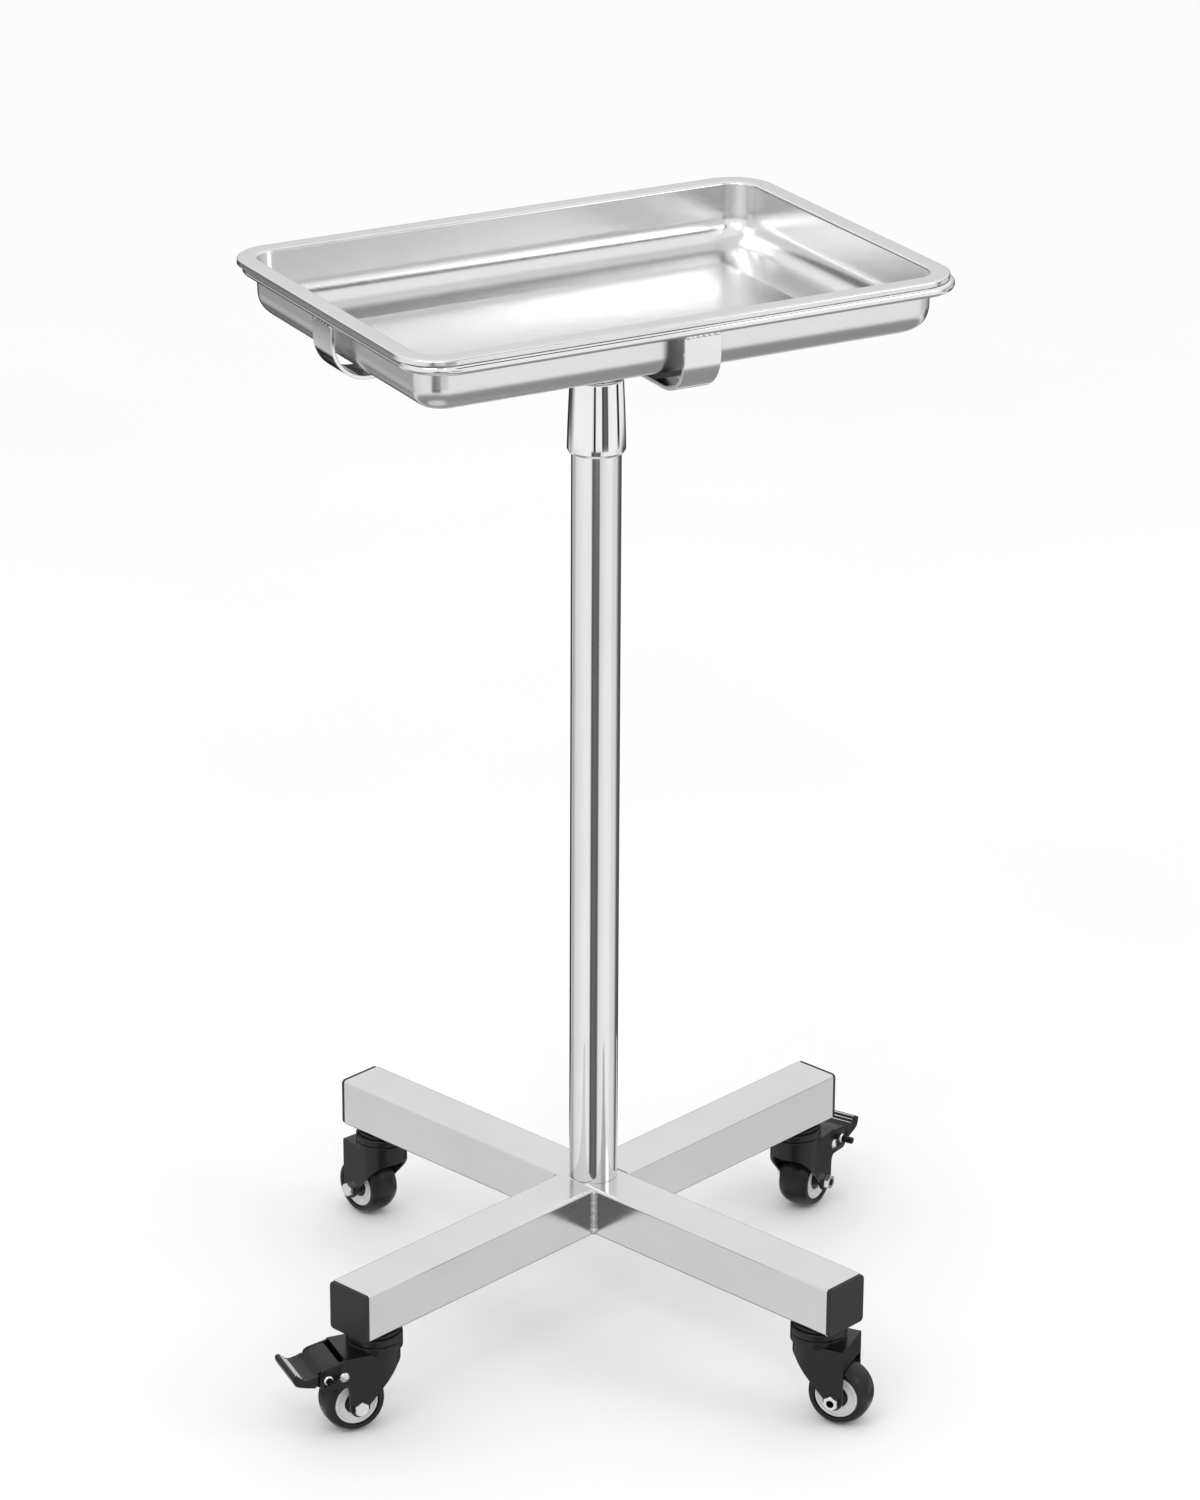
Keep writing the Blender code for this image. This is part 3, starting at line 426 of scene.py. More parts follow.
def makeColumn():
    settings = columnSettings
    radius, foot, top = settings["radius"], settings["foot"], settings["top"]
    inner = radius - settings["wall"]
    column = lathe("columnTube", [(inner, foot), (radius - 0.3 * mm, foot), (radius, foot + 0.35 * mm),
                                  (radius, top - 0.3 * mm), (radius - 0.3 * mm, top), (inner, top)], 128)
    finishPiece(column, "columnTube", "base", polishedSteel, ["column_tube"])
    radius, top = settings["liftRadius"], settings["liftTop"]
    inner = radius - settings["liftWall"]
    groove = radius - 0.8 * mm
    profile = [(inner, settings["liftBottom"]), (radius, settings["liftBottom"]), (radius, top - 13.5 * mm),
               (groove, top - 12.9 * mm), (groove, top - 7.1 * mm), (radius, top - 6.5 * mm), (radius, top),
               (inner, top)]
    lift = lathe("liftTube", profile, 128)
    finishPiece(lift, "liftTube", "lift", polishedSteel, ["lift_tube"])


def makeCollar():
    settings = collarSettings
    bottom, top, widest = settings["bottom"], settings["top"], settings["widest"]
    chamfer = settings["chamfer"]
    profile = [(settings["skirt"], bottom + 0.4 * mm), (settings["skirt"] + 0.3 * mm, bottom)]
    profile += [(widest - 1.6 * mm, bottom), (widest - 1.25 * mm, bottom + 0.15 * mm)]
    profile += [(widest - 0.15 * mm, bottom + chamfer), (widest, bottom + chamfer + 0.5 * mm)]
    taper = 14
    for i in range(1, taper):
        share = i / taper
        radius = widest - (widest - settings["topRadius"]) * share ** 1.35
        height = bottom + chamfer + 0.5 * mm + (top - 2 * mm - bottom - chamfer - 0.5 * mm) * share
        profile.append((radius, height))
    profile += arc((settings["topRadius"] - 1.4 * mm, top - 1.4 * mm), 1.4 * mm, 0, 90, 5)
    profile += [(settings["neck"] + 0.4 * mm, top), (settings["neck"], top - 0.4 * mm)]
    profile += [(settings["neck"], top - 13.5 * mm), (settings["skirt"] - 1.4 * mm, top - 14.5 * mm),
                (settings["skirt"] - 0.65 * mm, top - 30.5 * mm), (settings["skirt"], top - 42.4 * mm)]
    collar = lathe("lockCollar", profile, 144)
    finishPiece(collar, "lockCollar", "lock_collar", chromeFinish, ["lock_collar"], 28)


makeColumn()
makeCollar()
print("column made")


# tray frame: socket, straps, ring

frameSettings = {"strapWidth": 30.5 * mm, "strapThick": 3.0 * mm, "bend": 30.0 * mm, "strapBottom": 814.4 * mm,
                 "longReach": 226.5 * mm, "shortReach": 157.0 * mm, "gap": 0.3 * mm, "edge": 0.55 * mm}
ringSettings = {"corner": 35.0 * mm, "steps": 16, "section": 10}


def roundedPlate(name, halfX, halfY, height, corner, steps):
    bpy.ops.object.select_all(action="DESELECT")
    bpy.ops.mesh.primitive_plane_add(size=2.0, location=(0, 0, height))
    plate = bpy.context.object
    plate.name = name
    plate.scale = (halfX, halfY, 1.0)
    bpy.ops.object.transform_apply(location=True, rotation=True, scale=True)
    bpy.ops.object.mode_set(mode="EDIT")
    bpy.ops.mesh.select_mode(type="VERT")
    bpy.ops.mesh.select_all(action="SELECT")
    bpy.ops.mesh.bevel(offset=corner, segments=steps, affect="VERTICES", profile=0.5)
    bpy.ops.mesh.select_mode(type="FACE")
    bpy.ops.mesh.select_all(action="SELECT")
    return plate


def stepInwards(rows):
    # each row is (distance in from the outline, height), and the face in the middle moves on to it
    for (inset, height), (nextInset, nextHeight) in zip(rows, rows[1:]):
        bpy.ops.mesh.inset(thickness=max(nextInset - inset, 1e-7), depth=nextHeight - height)


def makeRing():
    low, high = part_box("tray_support_ring")
    middle = (low.z + high.z) / 2
    height = (high.z - low.z) / 2
    width = 3.5 * mm
    ring = roundedPlate("supportRing", high.x, high.y, middle, ringSettings["corner"], ringSettings["steps"])
    rows = []
    count = ringSettings["section"]
    for i in range(count + 1):
        turn = math.pi * i / count
        rows.append((width * (1 - math.cos(turn)), height * math.sin(turn)))
    stepInwards(rows)
    bpy.ops.mesh.delete(type="FACE")
    bpy.ops.object.mode_set(mode="OBJECT")
    ring.data.transform(Matrix.Translation((0, 0, -middle)))
    mirror = ring.modifiers.new("underside", "MIRROR")
    mirror.use_axis = (False, False, True)
    mirror.use_clip = True
    mirror.merge_threshold = 0.0001
    select(ring)
    bpy.ops.object.modifier_apply(modifier=mirror.name)
    tidyMesh(ring)
    ring.data.transform(Matrix.Translation((0, 0, middle)))
    finishPiece(ring, "supportRing", "tray_frame", ringSteel, ["tray_support_ring"], 60)


def makeStrap(name, reach, bottom, angle, node):
    settings = frameSettings
    low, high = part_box(node)
    top = high.z + 0.25 * mm
    thick, bend = settings["strapThick"], settings["bend"]
    centre = (reach - bend, bottom + bend)
    outside = [(reach, top)] + arc(centre, bend, 0, -90, 14)
    inside = arc(centre, bend - thick, -90, 0, 14) + [(reach - thick, top)]
    outline = outside + [(-x, z) for x, z in reversed(outside)]
    outline += [(-x, z) for x, z in reversed(inside)] + inside
    strap = slab(name, outline, settings["strapWidth"] / 2)
    soften(strap, settings["edge"], 3, 50)
    bpy.ops.object.select_all(action="DESELECT")
    hole = lathe(name + "Hole", [(0, bottom - 5 * mm), (4.3 * mm, bottom - 5 * mm), (4.3 * mm, bottom + 9 * mm),
                                 (0, bottom + 9 * mm)], 32)
    carve(strap, hole)
    turnPiece(strap, Matrix.Rotation(angle, 4, "Z"))
    finishPiece(strap, name, "tray_frame", ringSteel, [node], 30)
    # the weld under the ring at each end of the strap
    for number, hand in enumerate((1, -1)):
        bead = weldBead(f"{name}Weld{number + 1}", settings["strapWidth"] - 2 * mm)
        bead.data.transform(Matrix.Diagonal((0.5, 0.5, 1.0, 1.0)))
        place = Matrix.Rotation(angle, 4, "Z") @ Matrix.Translation(
            (hand * (reach - 0.55 * mm), 0, top - 0.1 * mm)) @ Matrix.Rotation(math.radians(90), 4, "X")
        bead.data.transform(place @ Matrix.Translation((0, 0, -(settings["strapWidth"] - 2 * mm) / 2)))
        finishPiece(bead, bead.name, "tray_frame", weldSteel, (), 60)


def makeSocket():
    low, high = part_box("frame_socket")
    bottom, top = low.z, high.z
    flange = top - 3.9 * mm
    profile = [(4.3 * mm, flange), (16.3 * mm, flange), (16.3 * mm, bottom), (18.2 * mm, bottom)]
    profile += arc((18.2 * mm, bottom + 0.8 * mm), 0.8 * mm, -90, 0, 4)
    profile += arc((21.0 * mm, flange - 2.0 * mm), 2.0 * mm, 180, 90, 5)
    profile += arc((31.2 * mm, flange + 0.8 * mm), 0.8 * mm, -90, 0, 4)
    profile += [(32.0 * mm, top), (4.3 * mm, top)]
    socket = lathe("frameSocket", profile, 96)
    hole = lathe("screwHole", [(0, 14 * mm), (2.8 * mm, 14 * mm), (2.8 * mm, 24 * mm), (0, 24 * mm)], 24)
    screwLow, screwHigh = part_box("frame_socket_screw")
    hole.data.transform(Matrix.Translation((0, 0, (screwLow.z + screwHigh.z) / 2))
                        @ Matrix.Rotation(math.radians(90), 4, "Y"))
    carve(socket, hole)
    finishPiece(socket, "frameSocket", "tray_frame", ringSteel, ["frame_socket"], 35)


makeRing()
makeStrap("shortStrap", frameSettings["shortReach"], frameSettings["strapBottom"], math.radians(90), "strap_short")
makeStrap("longStrap", frameSettings["longReach"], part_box("strap_long")[0].z, 0.0, "strap_long")
makeSocket()
print("tray frame made")


# tray: one plate pressed by steps, with the sheet's thickness underneath

traySettings = {"corner": 35.0 * mm, "cornerSteps": 16, "sheet": 1.2 * mm, "wall": 16.0 * mm,
                "rimRound": 1.5 * mm, "mouthRound": 2.2 * mm, "foot": 25.5 * mm, "footRound": 19.8 * mm,
                "bandSlope": 9.5, "floorInset": 58.0 * mm, "depth": 49.25 * mm, "lip": 4.1 * mm,
                "innerCorner": 14.0 * mm}


def shrinkInwards(halfX, halfY, rows):
    # past the corner's own radius the middle face shrinks towards the tray's centre instead
    for (inset, height), (nextInset, nextHeight) in zip(rows, rows[1:]):
        bpy.ops.mesh.extrude_region_move(TRANSFORM_OT_translate={"value": (0, 0, nextHeight - height)})
        scale = ((halfX - nextInset) / (halfX - inset), (halfY - nextInset) / (halfY - inset), 1.0)
        bpy.ops.transform.resize(value=scale, center_override=(0, 0, 0))


def makeTray():
    settings = traySettings
    low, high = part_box("tray")
    centre = (low + high) / 2
    rim = high.z
    halfX, halfY = (high.x - low.x) / 2, (high.y - low.y) / 2
    edge, mouth, foot = settings["rimRound"], settings["mouthRound"], settings["footRound"]
    wall, depth, footHeight = settings["wall"], settings["depth"], settings["foot"]
    slope = settings["bandSlope"]
    rows = [(edge - edge * math.cos(math.radians(a)), -edge + edge * math.sin(math.radians(a)))
            for a in (0, 22, 45, 68, 90)]
    # the wall leans in a little on its way down to the round at its foot
    lean = 0.4 * mm
    rows += [(wall - lean - mouth + mouth * math.sin(math.radians(a)), -mouth + mouth * math.cos(math.radians(a)))
             for a in (0, 18, 36, 54, 72, 86)]
    rows += [(wall, -footHeight)]
    round = [(wall + foot - foot * math.cos(math.radians(a)), -footHeight - foot * math.sin(math.radians(a)))
             for a in [(90 - slope) * i / 12 for i in range(1, 13)]]
    largest = settings["corner"] - settings["innerCorner"]
    rows += [row for row in round if row[0] <= largest]
    inner = [rows[-1]] + [row for row in round if row[0] > largest]
    # a crisp crease each side of the band, then the flat floor
    crease = 0.35 * mm
    fall = math.tan(math.radians(slope)) * crease
    inner += [(settings["floorInset"] - crease, -depth + fall), (settings["floorInset"], -depth),
              (settings["floorInset"] + crease, -depth)]
    tray = roundedPlate("tray", halfX, halfY, rim - edge, settings["corner"], settings["cornerSteps"])
    stepInwards(rows)
    shrinkInwards(halfX, halfY, inner)
    # the rolled-down edge
    bpy.ops.mesh.select_mode(type="EDGE")
    bpy.ops.mesh.select_all(action="DESELECT")
    bpy.ops.mesh.select_non_manifold()
    drop = settings["lip"] - edge
    bpy.ops.mesh.extrude_region_move(TRANSFORM_OT_translate={"value": (0, 0, -drop)})
    bpy.ops.object.mode_set(mode="OBJECT")
    sheet = tray.modifiers.new("sheet", "SOLIDIFY")
    sheet.thickness = settings["sheet"]
    sheet.offset = -1.0
    sheet.use_even_offset = True
    select(tray)
    bpy.ops.object.modifier_apply(modifier=sheet.name)
    tidyMesh(tray)
    turnPiece(tray, Matrix.Translation((centre.x, centre.y, 0)))
    finishPiece(tray, "pressedTray", "tray", traySteel, ["tray"], 30)


makeTray()
print("tray made")


# casters, in a frame with the swivel axis at x = 0 and the wheel trailing along +X

casterSettings = {"trail": 19.5 * mm, "axle": 25.0 * mm, "yokeHalf": 20.0 * mm, "yokeWall": 2.2 * mm,
                  "yokeTop": 68.5 * mm, "cupTop": 73.2 * mm, "race": 22.0 * mm, "pedalPin": (45 * mm, 54 * mm),
                  "shoePin": (32 * mm, 54 * mm)}


def yokePlan(half, front, steps=24):
    return arc((0, 0), half, 90, 270, steps) + [(front, -half), (front, half)]


def planBlock(name, outline, low, high):
    piece = drawLine(name, [(x, y, low) for x, y in outline])
    bpy.ops.mesh.edge_face_add()
    bpy.ops.mesh.extrude_region_move(TRANSFORM_OT_translate={"value": (0, 0, high - low)})
    tidyMesh(piece)
    return piece


def yokeOutline(braked):
    outline = [(-24, 80), (-24, 57), (-17, 55.4), (-13.5, 53.8)]
    outline = [(x * mm, z * mm) for x, z in outline]
    outline += arc((casterSettings["trail"], casterSettings["axle"]), 8.0 * mm, 172, 360, 14)
    if braked:
        ears = [(28.2, 41), (29.5, 44.2), (32, 45.4), (47, 44.4), (50, 45.2), (51.7, 47.6), (52, 59), (50.6, 62.4),
                (47.5, 64.2), (33, 67), (31.2, 68.5), (31.2, 80)]
    else:
        ears = [(27.5, 80)]
    return outline + [(x * mm, z * mm) for x, z in ears]


def makeYoke(braked):
    settings = casterSettings
    half, wall, top = settings["yokeHalf"], settings["yokeWall"], settings["yokeTop"]
    front = 52 * mm if braked else 27.5 * mm
    cheek = half - wall
    yoke = planBlock("yoke", yokePlan(half, front), 12 * mm, top)
    carve(yoke, slab("yokeSide", yokeOutline(braked), 30 * mm), "INTERSECT")
    hollowFront = 60 * mm if braked else front - wall
    carve(yoke, planBlock("yokeHollow", yokePlan(cheek, hollowFront), 5 * mm, top - wall))
    if braked:
        carve(yoke, block("pedalRoom", (31.2 * mm, -cheek, 5 * mm), (60 * mm, cheek, 80 * mm)))
    else:
        carve(yoke, block("wheelRoom", (20 * mm, -cheek, 5 * mm), (35 * mm, cheek, 51 * mm)))
    soften(yoke, 0.7 * mm, 3, 40)
    cup = [(7 * mm, top - 1.5 * mm), (settings["race"], top - 1.5 * mm), (settings["race"], settings["cupTop"] - 0.9 * mm)]
    cup += arc((settings["race"] - 0.8 * mm, settings["cupTop"] - 0.8 * mm), 0.8 * mm, 0, 90, 4)
    cup += [(7 * mm, settings["cupTop"])]
    carve(yoke, lathe("cup", cup, 64), "UNION")
    return yoke


def makeRace():
    # the stem's race: a thin top plate over a thicker dished one, and the stem through the arm
    top = 83.4 * mm
    low = 73.6 * mm
    race = casterSettings["race"]
    profile = [(0, 61.8 * mm), (6.6 * mm, 61.8 * mm), (8.0 * mm, 63.0 * mm), (8.0 * mm, 66.0 * mm),
               (5.0 * mm, 66.0 * mm), (5.0 * mm, low), (race - 0.8 * mm, low)]
    profile += arc((race - 0.9 * mm, low + 0.9 * mm), 0.9 * mm, -60, 0, 4)
    profile += arc((race - 1.5 * mm, 78.0 * mm), 1.5 * mm, 0, 80, 5)
    profile += [(race - 2.6 * mm, 79.7 * mm), (race - 2.7 * mm, 80.3 * mm)]
    profile += arc((race - 2.0 * mm, 81.6 * mm), 0.9 * mm, -80, 70, 6)
    profile += [(17 * mm, top), (5 * mm, top), (5 * mm, 85.4 * mm), (8.5 * mm, 85.4 * mm), (8.5 * mm, 91.4 * mm),
                (5 * mm, 91.4 * mm), (4 * mm, 97.3 * mm), (0, 97.3 * mm)]
    return lathe("race", profile, 96)


def makeTyre():
    # a crowned tread with a fine mould line round its middle
    hub, radius, half = 17.8 * mm, 25.0 * mm, 13.1 * mm
    profile = [(hub, -half + 1.0 * mm), (hub + 0.5 * mm, -half + 0.25 * mm), (hub + 1.3 * mm, -half)]
    steps = 14
    for i in range(steps + 1):
        across = -1 + 2 * i / steps
        crown = radius - 0.06 * mm - 3.4 * mm * abs(across) ** 2.6
        profile.append((crown, across * (half - 0.35 * mm)))
    profile += [(hub + 1.3 * mm, half), (hub + 0.5 * mm, half - 0.25 * mm), (hub, half - 1.0 * mm)]
    middle = len(profile) // 2
    ridge = [(radius - 0.06 * mm, -0.35 * mm), (radius, -0.12 * mm), (radius, 0.12 * mm), (radius - 0.06 * mm, 0.35 * mm)]
    profile = profile[:middle] + ridge + profile[middle + 1:]
    tyre = lathe("tyre", profile, 112)
    turnPiece(tyre, alongY)
    return tyre


def makeHub():
    # a pale rim with a raised lip and two fine steps, open in the middle for the bearing cap
    face, outer, bore = 11.5 * mm, 17.5 * mm, 3.3 * mm
    side = [(bore, face - 2.6 * mm), (9.3 * mm, face - 2.6 * mm), (9.3 * mm, face - 0.7 * mm),
            (9.6 * mm, face - 0.4 * mm), (10.3 * mm, face - 0.4 * mm), (10.6 * mm, face - 0.9 * mm),
            (11.3 * mm, face - 0.9 * mm), (11.6 * mm, face - 1.4 * mm), (14.3 * mm, face - 0.9 * mm),
            (15.2 * mm, face - 0.3 * mm), (15.6 * mm, face + 0.35 * mm), (16.4 * mm, face + 0.5 * mm),
            (17.2 * mm, face + 0.1 * mm), (outer, face - 0.5 * mm)]
    profile = side + [(radius, -height) for radius, height in reversed(side)]
    hub = lathe("hub", profile, 96)
    turnPiece(hub, alongY)
    return hub


def makeBearingCap():
    # the black middle of the wheel: a boss that reaches the cheek, with a shallow dish round it
    face = 11.5 * mm
    side = [(3.2 * mm, 17.2 * mm), (5.0 * mm, 17.2 * mm), (5.4 * mm, 16.8 * mm), (5.6 * mm, face + 0.6 * mm),
            (6.6 * mm, face - 0.6 * mm), (8.3 * mm, face - 0.9 * mm), (9.1 * mm, face - 1.4 * mm),
            (9.2 * mm, face - 2.5 * mm), (9.2 * mm, face - 2.55 * mm)]
    profile = side[:-1] + [(3.2 * mm, face - 2.5 * mm)]
    cap = lathe("cap", profile, 72)
    other = cap.copy()
    other.data = cap.data.copy()
    bpy.context.collection.objects.link(other)
    turnPiece(other, Matrix.Rotation(math.pi, 4, "X"))
    turnPiece(cap, alongY)
    turnPiece(other, alongY)
    return cap, other


def hexBlock(name, radius, low, high, chamfer, both=False):
    # a hexagon with its corners turned off at the outer end
    bpy.ops.object.select_all(action="DESELECT")
    bpy.ops.mesh.primitive_cylinder_add(vertices=6, radius=radius, depth=high - low, location=(0, 0, (low + high) / 2))
    block6 = bpy.context.object
    block6.name = name
    bpy.ops.object.transform_apply(location=True, rotation=True, scale=True)
    wide = radius + 0.5 * mm
    flat = radius * math.cos(math.pi / 6) - 0.2 * mm
    start = [(0, low - 0 * mm), (wide, low)]
    if both:
        start = [(0, low), (flat, low), (wide, low + chamfer)]
    turned = lathe(name + "Turned", start + [(wide, high - chamfer), (flat, high), (0, high)], 48)
    carve(block6, turned, "INTERSECT")
    soften(block6, 0.12 * mm, 2, 30)
    return block6


def makeAxleBolt():
    face = 20.05 * mm
    bolt = hexBlock("axleBolt", 6.2 * mm, face, face + 3.9 * mm, 0.9 * mm)
    end = -26.2 * mm
    shank = [(0, end), (2.2 * mm, end), (3.0 * mm, end + 0.7 * mm)]
    pitch = 0.8 * mm
    for i in range(6):
        base = end + 0.7 * mm + pitch * i
        shank += [(2.62 * mm, base + pitch * 0.5), (3.0 * mm, base + pitch)]
    shank += [(3.0 * mm, face + mm), (0, face + mm)]
    carve(bolt, lathe("shank", shank, 32), "UNION")
    turnPiece(bolt, alongY)
    return bolt


def makeAxleNut():
    face = -20.05 * mm
    nut = hexBlock("axleNut", 6.2 * mm, face - 4.7 * mm, face, 0.8 * mm, True)
    hole = lathe("nutHole", [(0, -40 * mm), (3.15 * mm, -40 * mm), (3.15 * mm, 0), (0, 0)], 32)
    carve(nut, hole)
    turnPiece(nut, alongY)
    return nut


def makeBrakePin():
    # a rivet with a low rounded head on each side
    head = 20.05 * mm
    side = [(0, head + 1.7 * mm), (1.6 * mm, head + 1.55 * mm), (2.9 * mm, head + 1.05 * mm), (3.7 * mm, head + 0.45 * mm),
            (3.95 * mm, head), (2.5 * mm, head)]
    profile = [(radius, -height) for radius, height in side] + list(reversed(side))
    pin = lathe("pin", profile, 40)
    turnPiece(pin, alongY)
    return pin


pedalSettings = {"toeHalf": 19.8 * mm, "armHalf": 17.4 * mm, "edge": 0.8 * mm}


def makePedal():
    arm = [(34.1, 65.2), (35.4, 66.1), (38, 66.0), (46, 64.5), (50, 62.6), (56, 58.5), (56, 50.2), (49.0, 47.5),
           (44.2, 48.0), (41.1, 52.0), (40.2, 59.0), (36.2, 62.4)]
    toe = [(52.6, 60.2), (56.5, 58.6), (61.8, 57.5), (64.8, 57.9), (67.4, 59.9), (69.6, 62.1), (71.4, 62.9),
           (73.2, 62.5), (73.9, 61.0), (73.6, 58.2), (71.8, 54.6), (68.2, 52.8), (62.5, 51.2), (55.6, 49.6)]
    pedal = slab("pedal", [(x * mm, z * mm) for x, z in toe], pedalSettings["toeHalf"])
    carve(pedal, slab("pedalArm", [(x * mm, z * mm) for x, z in arm], pedalSettings["armHalf"]), "UNION")
    # the underside of the toe is dished between its two side flanges
    dish = [(54.5, 40), (54.5, 54.6), (62, 54.9), (68.5, 56.0), (71.0, 57.6), (71.6, 40)]
    carve(pedal, slab("dish", [(x * mm, z * mm) for x, z in dish], pedalSettings["toeHalf"] - 2.2 * mm))
    x, z = casterSettings["pedalPin"]
    bore = lathe("pinBore", [(0, -30 * mm), (2.8 * mm, -30 * mm), (2.8 * mm, 30 * mm), (0, 30 * mm)], 24)
    turnPiece(bore, Matrix.Translation((x, 0, z)) @ alongY)
    carve(pedal, bore)
    soften(pedal, pedalSettings["edge"], 3, 32)
    return pedal


def makeHighlightRib(along, height):
    # a grip rib across the toe's upturned lip, whose pale zinc finish given below is a painted highlight on the black
    # lip
    bpy.ops.object.select_all(action="DESELECT")
    rib = lathe("rib", [(0, -17.6 * mm), (0.35 * mm, -17.4 * mm), (0.62 * mm, -16.6 * mm), (0.62 * mm, 16.6 * mm),
                        (0.35 * mm, 17.4 * mm), (0, 17.6 * mm)], 16)
    turnPiece(rib, Matrix.Translation((along, 0, height)) @ alongY)
    return rib


def makeShoe():
    blade = [(-2.0, -1.0), (3.0, 1.5), (7.5, -4.0), (12.6, -9.6), (14.6, -9.0), (14.4, -10.8), (11.6, -12.2),
             (5.6, -6.6), (0.0, -4.2), (-3.0, -3.0)]
    pinX, pinZ = casterSettings["shoePin"]
    shoe = slab("shoe", [(pinX + x * mm, pinZ + z * mm) for x, z in blade], 8 * mm)
    place = Matrix.Translation((pinX, 0, pinZ)) @ alongY
    barrel = lathe("barrel", [(0, -8.5 * mm), (4.4 * mm, -8.5 * mm), (4.4 * mm, 8.5 * mm), (0, 8.5 * mm)], 40)
    turnPiece(barrel, place)
    carve(shoe, barrel, "UNION")
    bore = lathe("shoeBore", [(0, -30 * mm), (2.8 * mm, -30 * mm), (2.8 * mm, 30 * mm), (0, 30 * mm)], 24)
    turnPiece(bore, place)
    carve(shoe, bore)
    soften(shoe, 0.3 * mm, 2, 35)
    return shoe


def copyPiece(piece, name, place):
    made = piece.copy()
    made.data = piece.data.copy()
    made.name = name
    bpy.context.collection.objects.link(made)
    made.data.transform(place)
    return made


def casterPlace(side):
    swivel = Vector(joints[f"caster_{side}_swivel_turn"]["pos_m"])
    wheel = Vector(joints[f"caster_{side}_wheel_roll"]["pos_m"])
    turn = math.atan2(wheel.y - swivel.y, wheel.x - swivel.x)
    return Matrix.Translation((swivel.x, swivel.y, 0)) @ Matrix.Rotation(turn, 4, "Z")


def makeCasters():
    yokes = {True: makeYoke(True), False: makeYoke(False)}
    bores = [(casterSettings["trail"], casterSettings["axle"], 3.3 * mm)]
    for braked, yoke in yokes.items():
        pins = bores + ([(*casterSettings[key], 2.8 * mm) for key in ("pedalPin", "shoePin")] if braked else [])
        for x, z, radius in pins:
            bore = lathe("bore", [(0, -30 * mm), (radius, -30 * mm), (radius, 30 * mm), (0, 30 * mm)], 32)
            turnPiece(bore, Matrix.Translation((x, 0, z)) @ alongY)
            carve(yoke, bore)
    race, tyre, hub, bolt, nut = makeRace(), makeTyre(), makeHub(), makeAxleBolt(), makeAxleNut()
    caps = makeBearingCap()
    pin, pedal, shoe = makeBrakePin(), makePedal(), makeShoe()
    highlightRibs = [makeHighlightRib(x * mm, z * mm) for x, z in ((65.9, 58.5), (68.1, 60.6), (70.4, 62.6))]
    print("caster pieces modelled")
    for side, braked in (("left", True), ("front", False), ("right", True), ("back", False)):
        place = casterPlace(side)
        axle = place @ Matrix.Translation((casterSettings["trail"], 0, casterSettings["axle"]))
        swivel, wheel = f"caster_{side}_swivel", f"caster_{side}_wheel"
        made = [
            (race, place, "Race", "base", "black_enamel", blackEnamel, ["stem"], 35),
            (yokes[braked], place, "Yoke", swivel, "black_enamel", blackEnamel, ["yoke"], 30),
            (tyre, axle, "Tyre", wheel, "tyre_black", tyreRubber, ["tyre"], 40),
            (hub, axle, "Hub", wheel, "hub_grey", hubPlastic, ["hub"], 30),
            (caps[0], axle, "BearingCapLeft", wheel, "black_plastic", blackEnamel, [], 35),
            (caps[1], axle, "BearingCapRight", wheel, "black_plastic", blackEnamel, [], 35),
            (bolt, axle, "AxleBolt", swivel, "zinc", zincFinish, ["axle_bolt"], 25),
            (nut, axle, "AxleNut", swivel, "zinc", zincFinish, ["axle_nut"], 25),
        ]
        if braked:
            pedalPlace, shoePlace = (Matrix.Translation((x, 0, z)) for x, z in
                                     (casterSettings["pedalPin"], casterSettings["shoePin"]))
            made += [
                (pin, place @ pedalPlace, "PedalPin", swivel, "zinc", zincFinish, ["pedal_pin"], 35),
                (pin, place @ shoePlace, "ShoePin", swivel, "zinc", zincFinish, ["shoe_pin"], 35),
                (pedal, place, "Pedal", f"caster_{side}_pedal", "black_plastic", pedalPlastic, ["pedal"], 32),
                (shoe, place, "BrakeShoe", f"caster_{side}_shoe", "zinc", zincFinish, ["brake_shoe"], 30),
            ]
            # the ribs get pale zinc as a painted highlight where the pedal's black lip catches light
            for number, rib in enumerate(highlightRibs):
                made.append((rib, place, f"PedalRib{number + 1}", f"caster_{side}_pedal", "zinc", zincFinish, [], 40))
        for piece, where, label, body, slot, material, replaced, angle in made:
            copy = copyPiece(piece, side + label, where)
            finishPiece(copy, side + label, body, material, [f"caster_{side}_{n}" for n in replaced], angle)
    for piece in (*yokes.values(), race, tyre, hub, bolt, nut, pin, pedal, shoe, *caps, *highlightRibs):
        bpy.data.objects.remove(piece, do_unlink=True)


makeCasters()
print("casters made")


# pieces that keep their own solids get the better materials

keptFinishes = {
    "column_foot_plate": zincFinish, "column_bolt": zincFinish, "column_bolt_washer": zincFinish,
    "column_guide_bush": guidePlastic, "column_collet": guidePlastic, "lift_tube_glide": guidePlastic,
    "frame_socket_screw": zincFinish, "frame_centre_bolt": zincFinish, "frame_centre_nut": zincFinish,
}


def finishKeptNodes():
    for name, material in keptFinishes.items():
        node = nodes[name]
        if node.material_slots:
            node.material_slots[0].material = material
        else:
            node.data.materials.append(material)


finishKeptNodes()
print("kept pieces finished")


# floor, light and camera

cameraSettings = {"place": (-1.7846, -3.2212, 1.9815), "heading": -29.046, "tilt": 67.889, "roll": 0.289,
                  "lens": 124.55, "sensor": 36.0}
lightSettings = {"fill": 1.0, "keyPower": 16.0, "keySize": 1.6, "key": (-2.2, -1.2, 3.0),
                 "rimPower": 10.0, "rimSize": 1.2, "rim": (2.0, -2.2, 2.2),
                 "sparkPower": 6.0, "sparkSize": 0.3, "spark": (-1.2, -2.6, 2.9)}


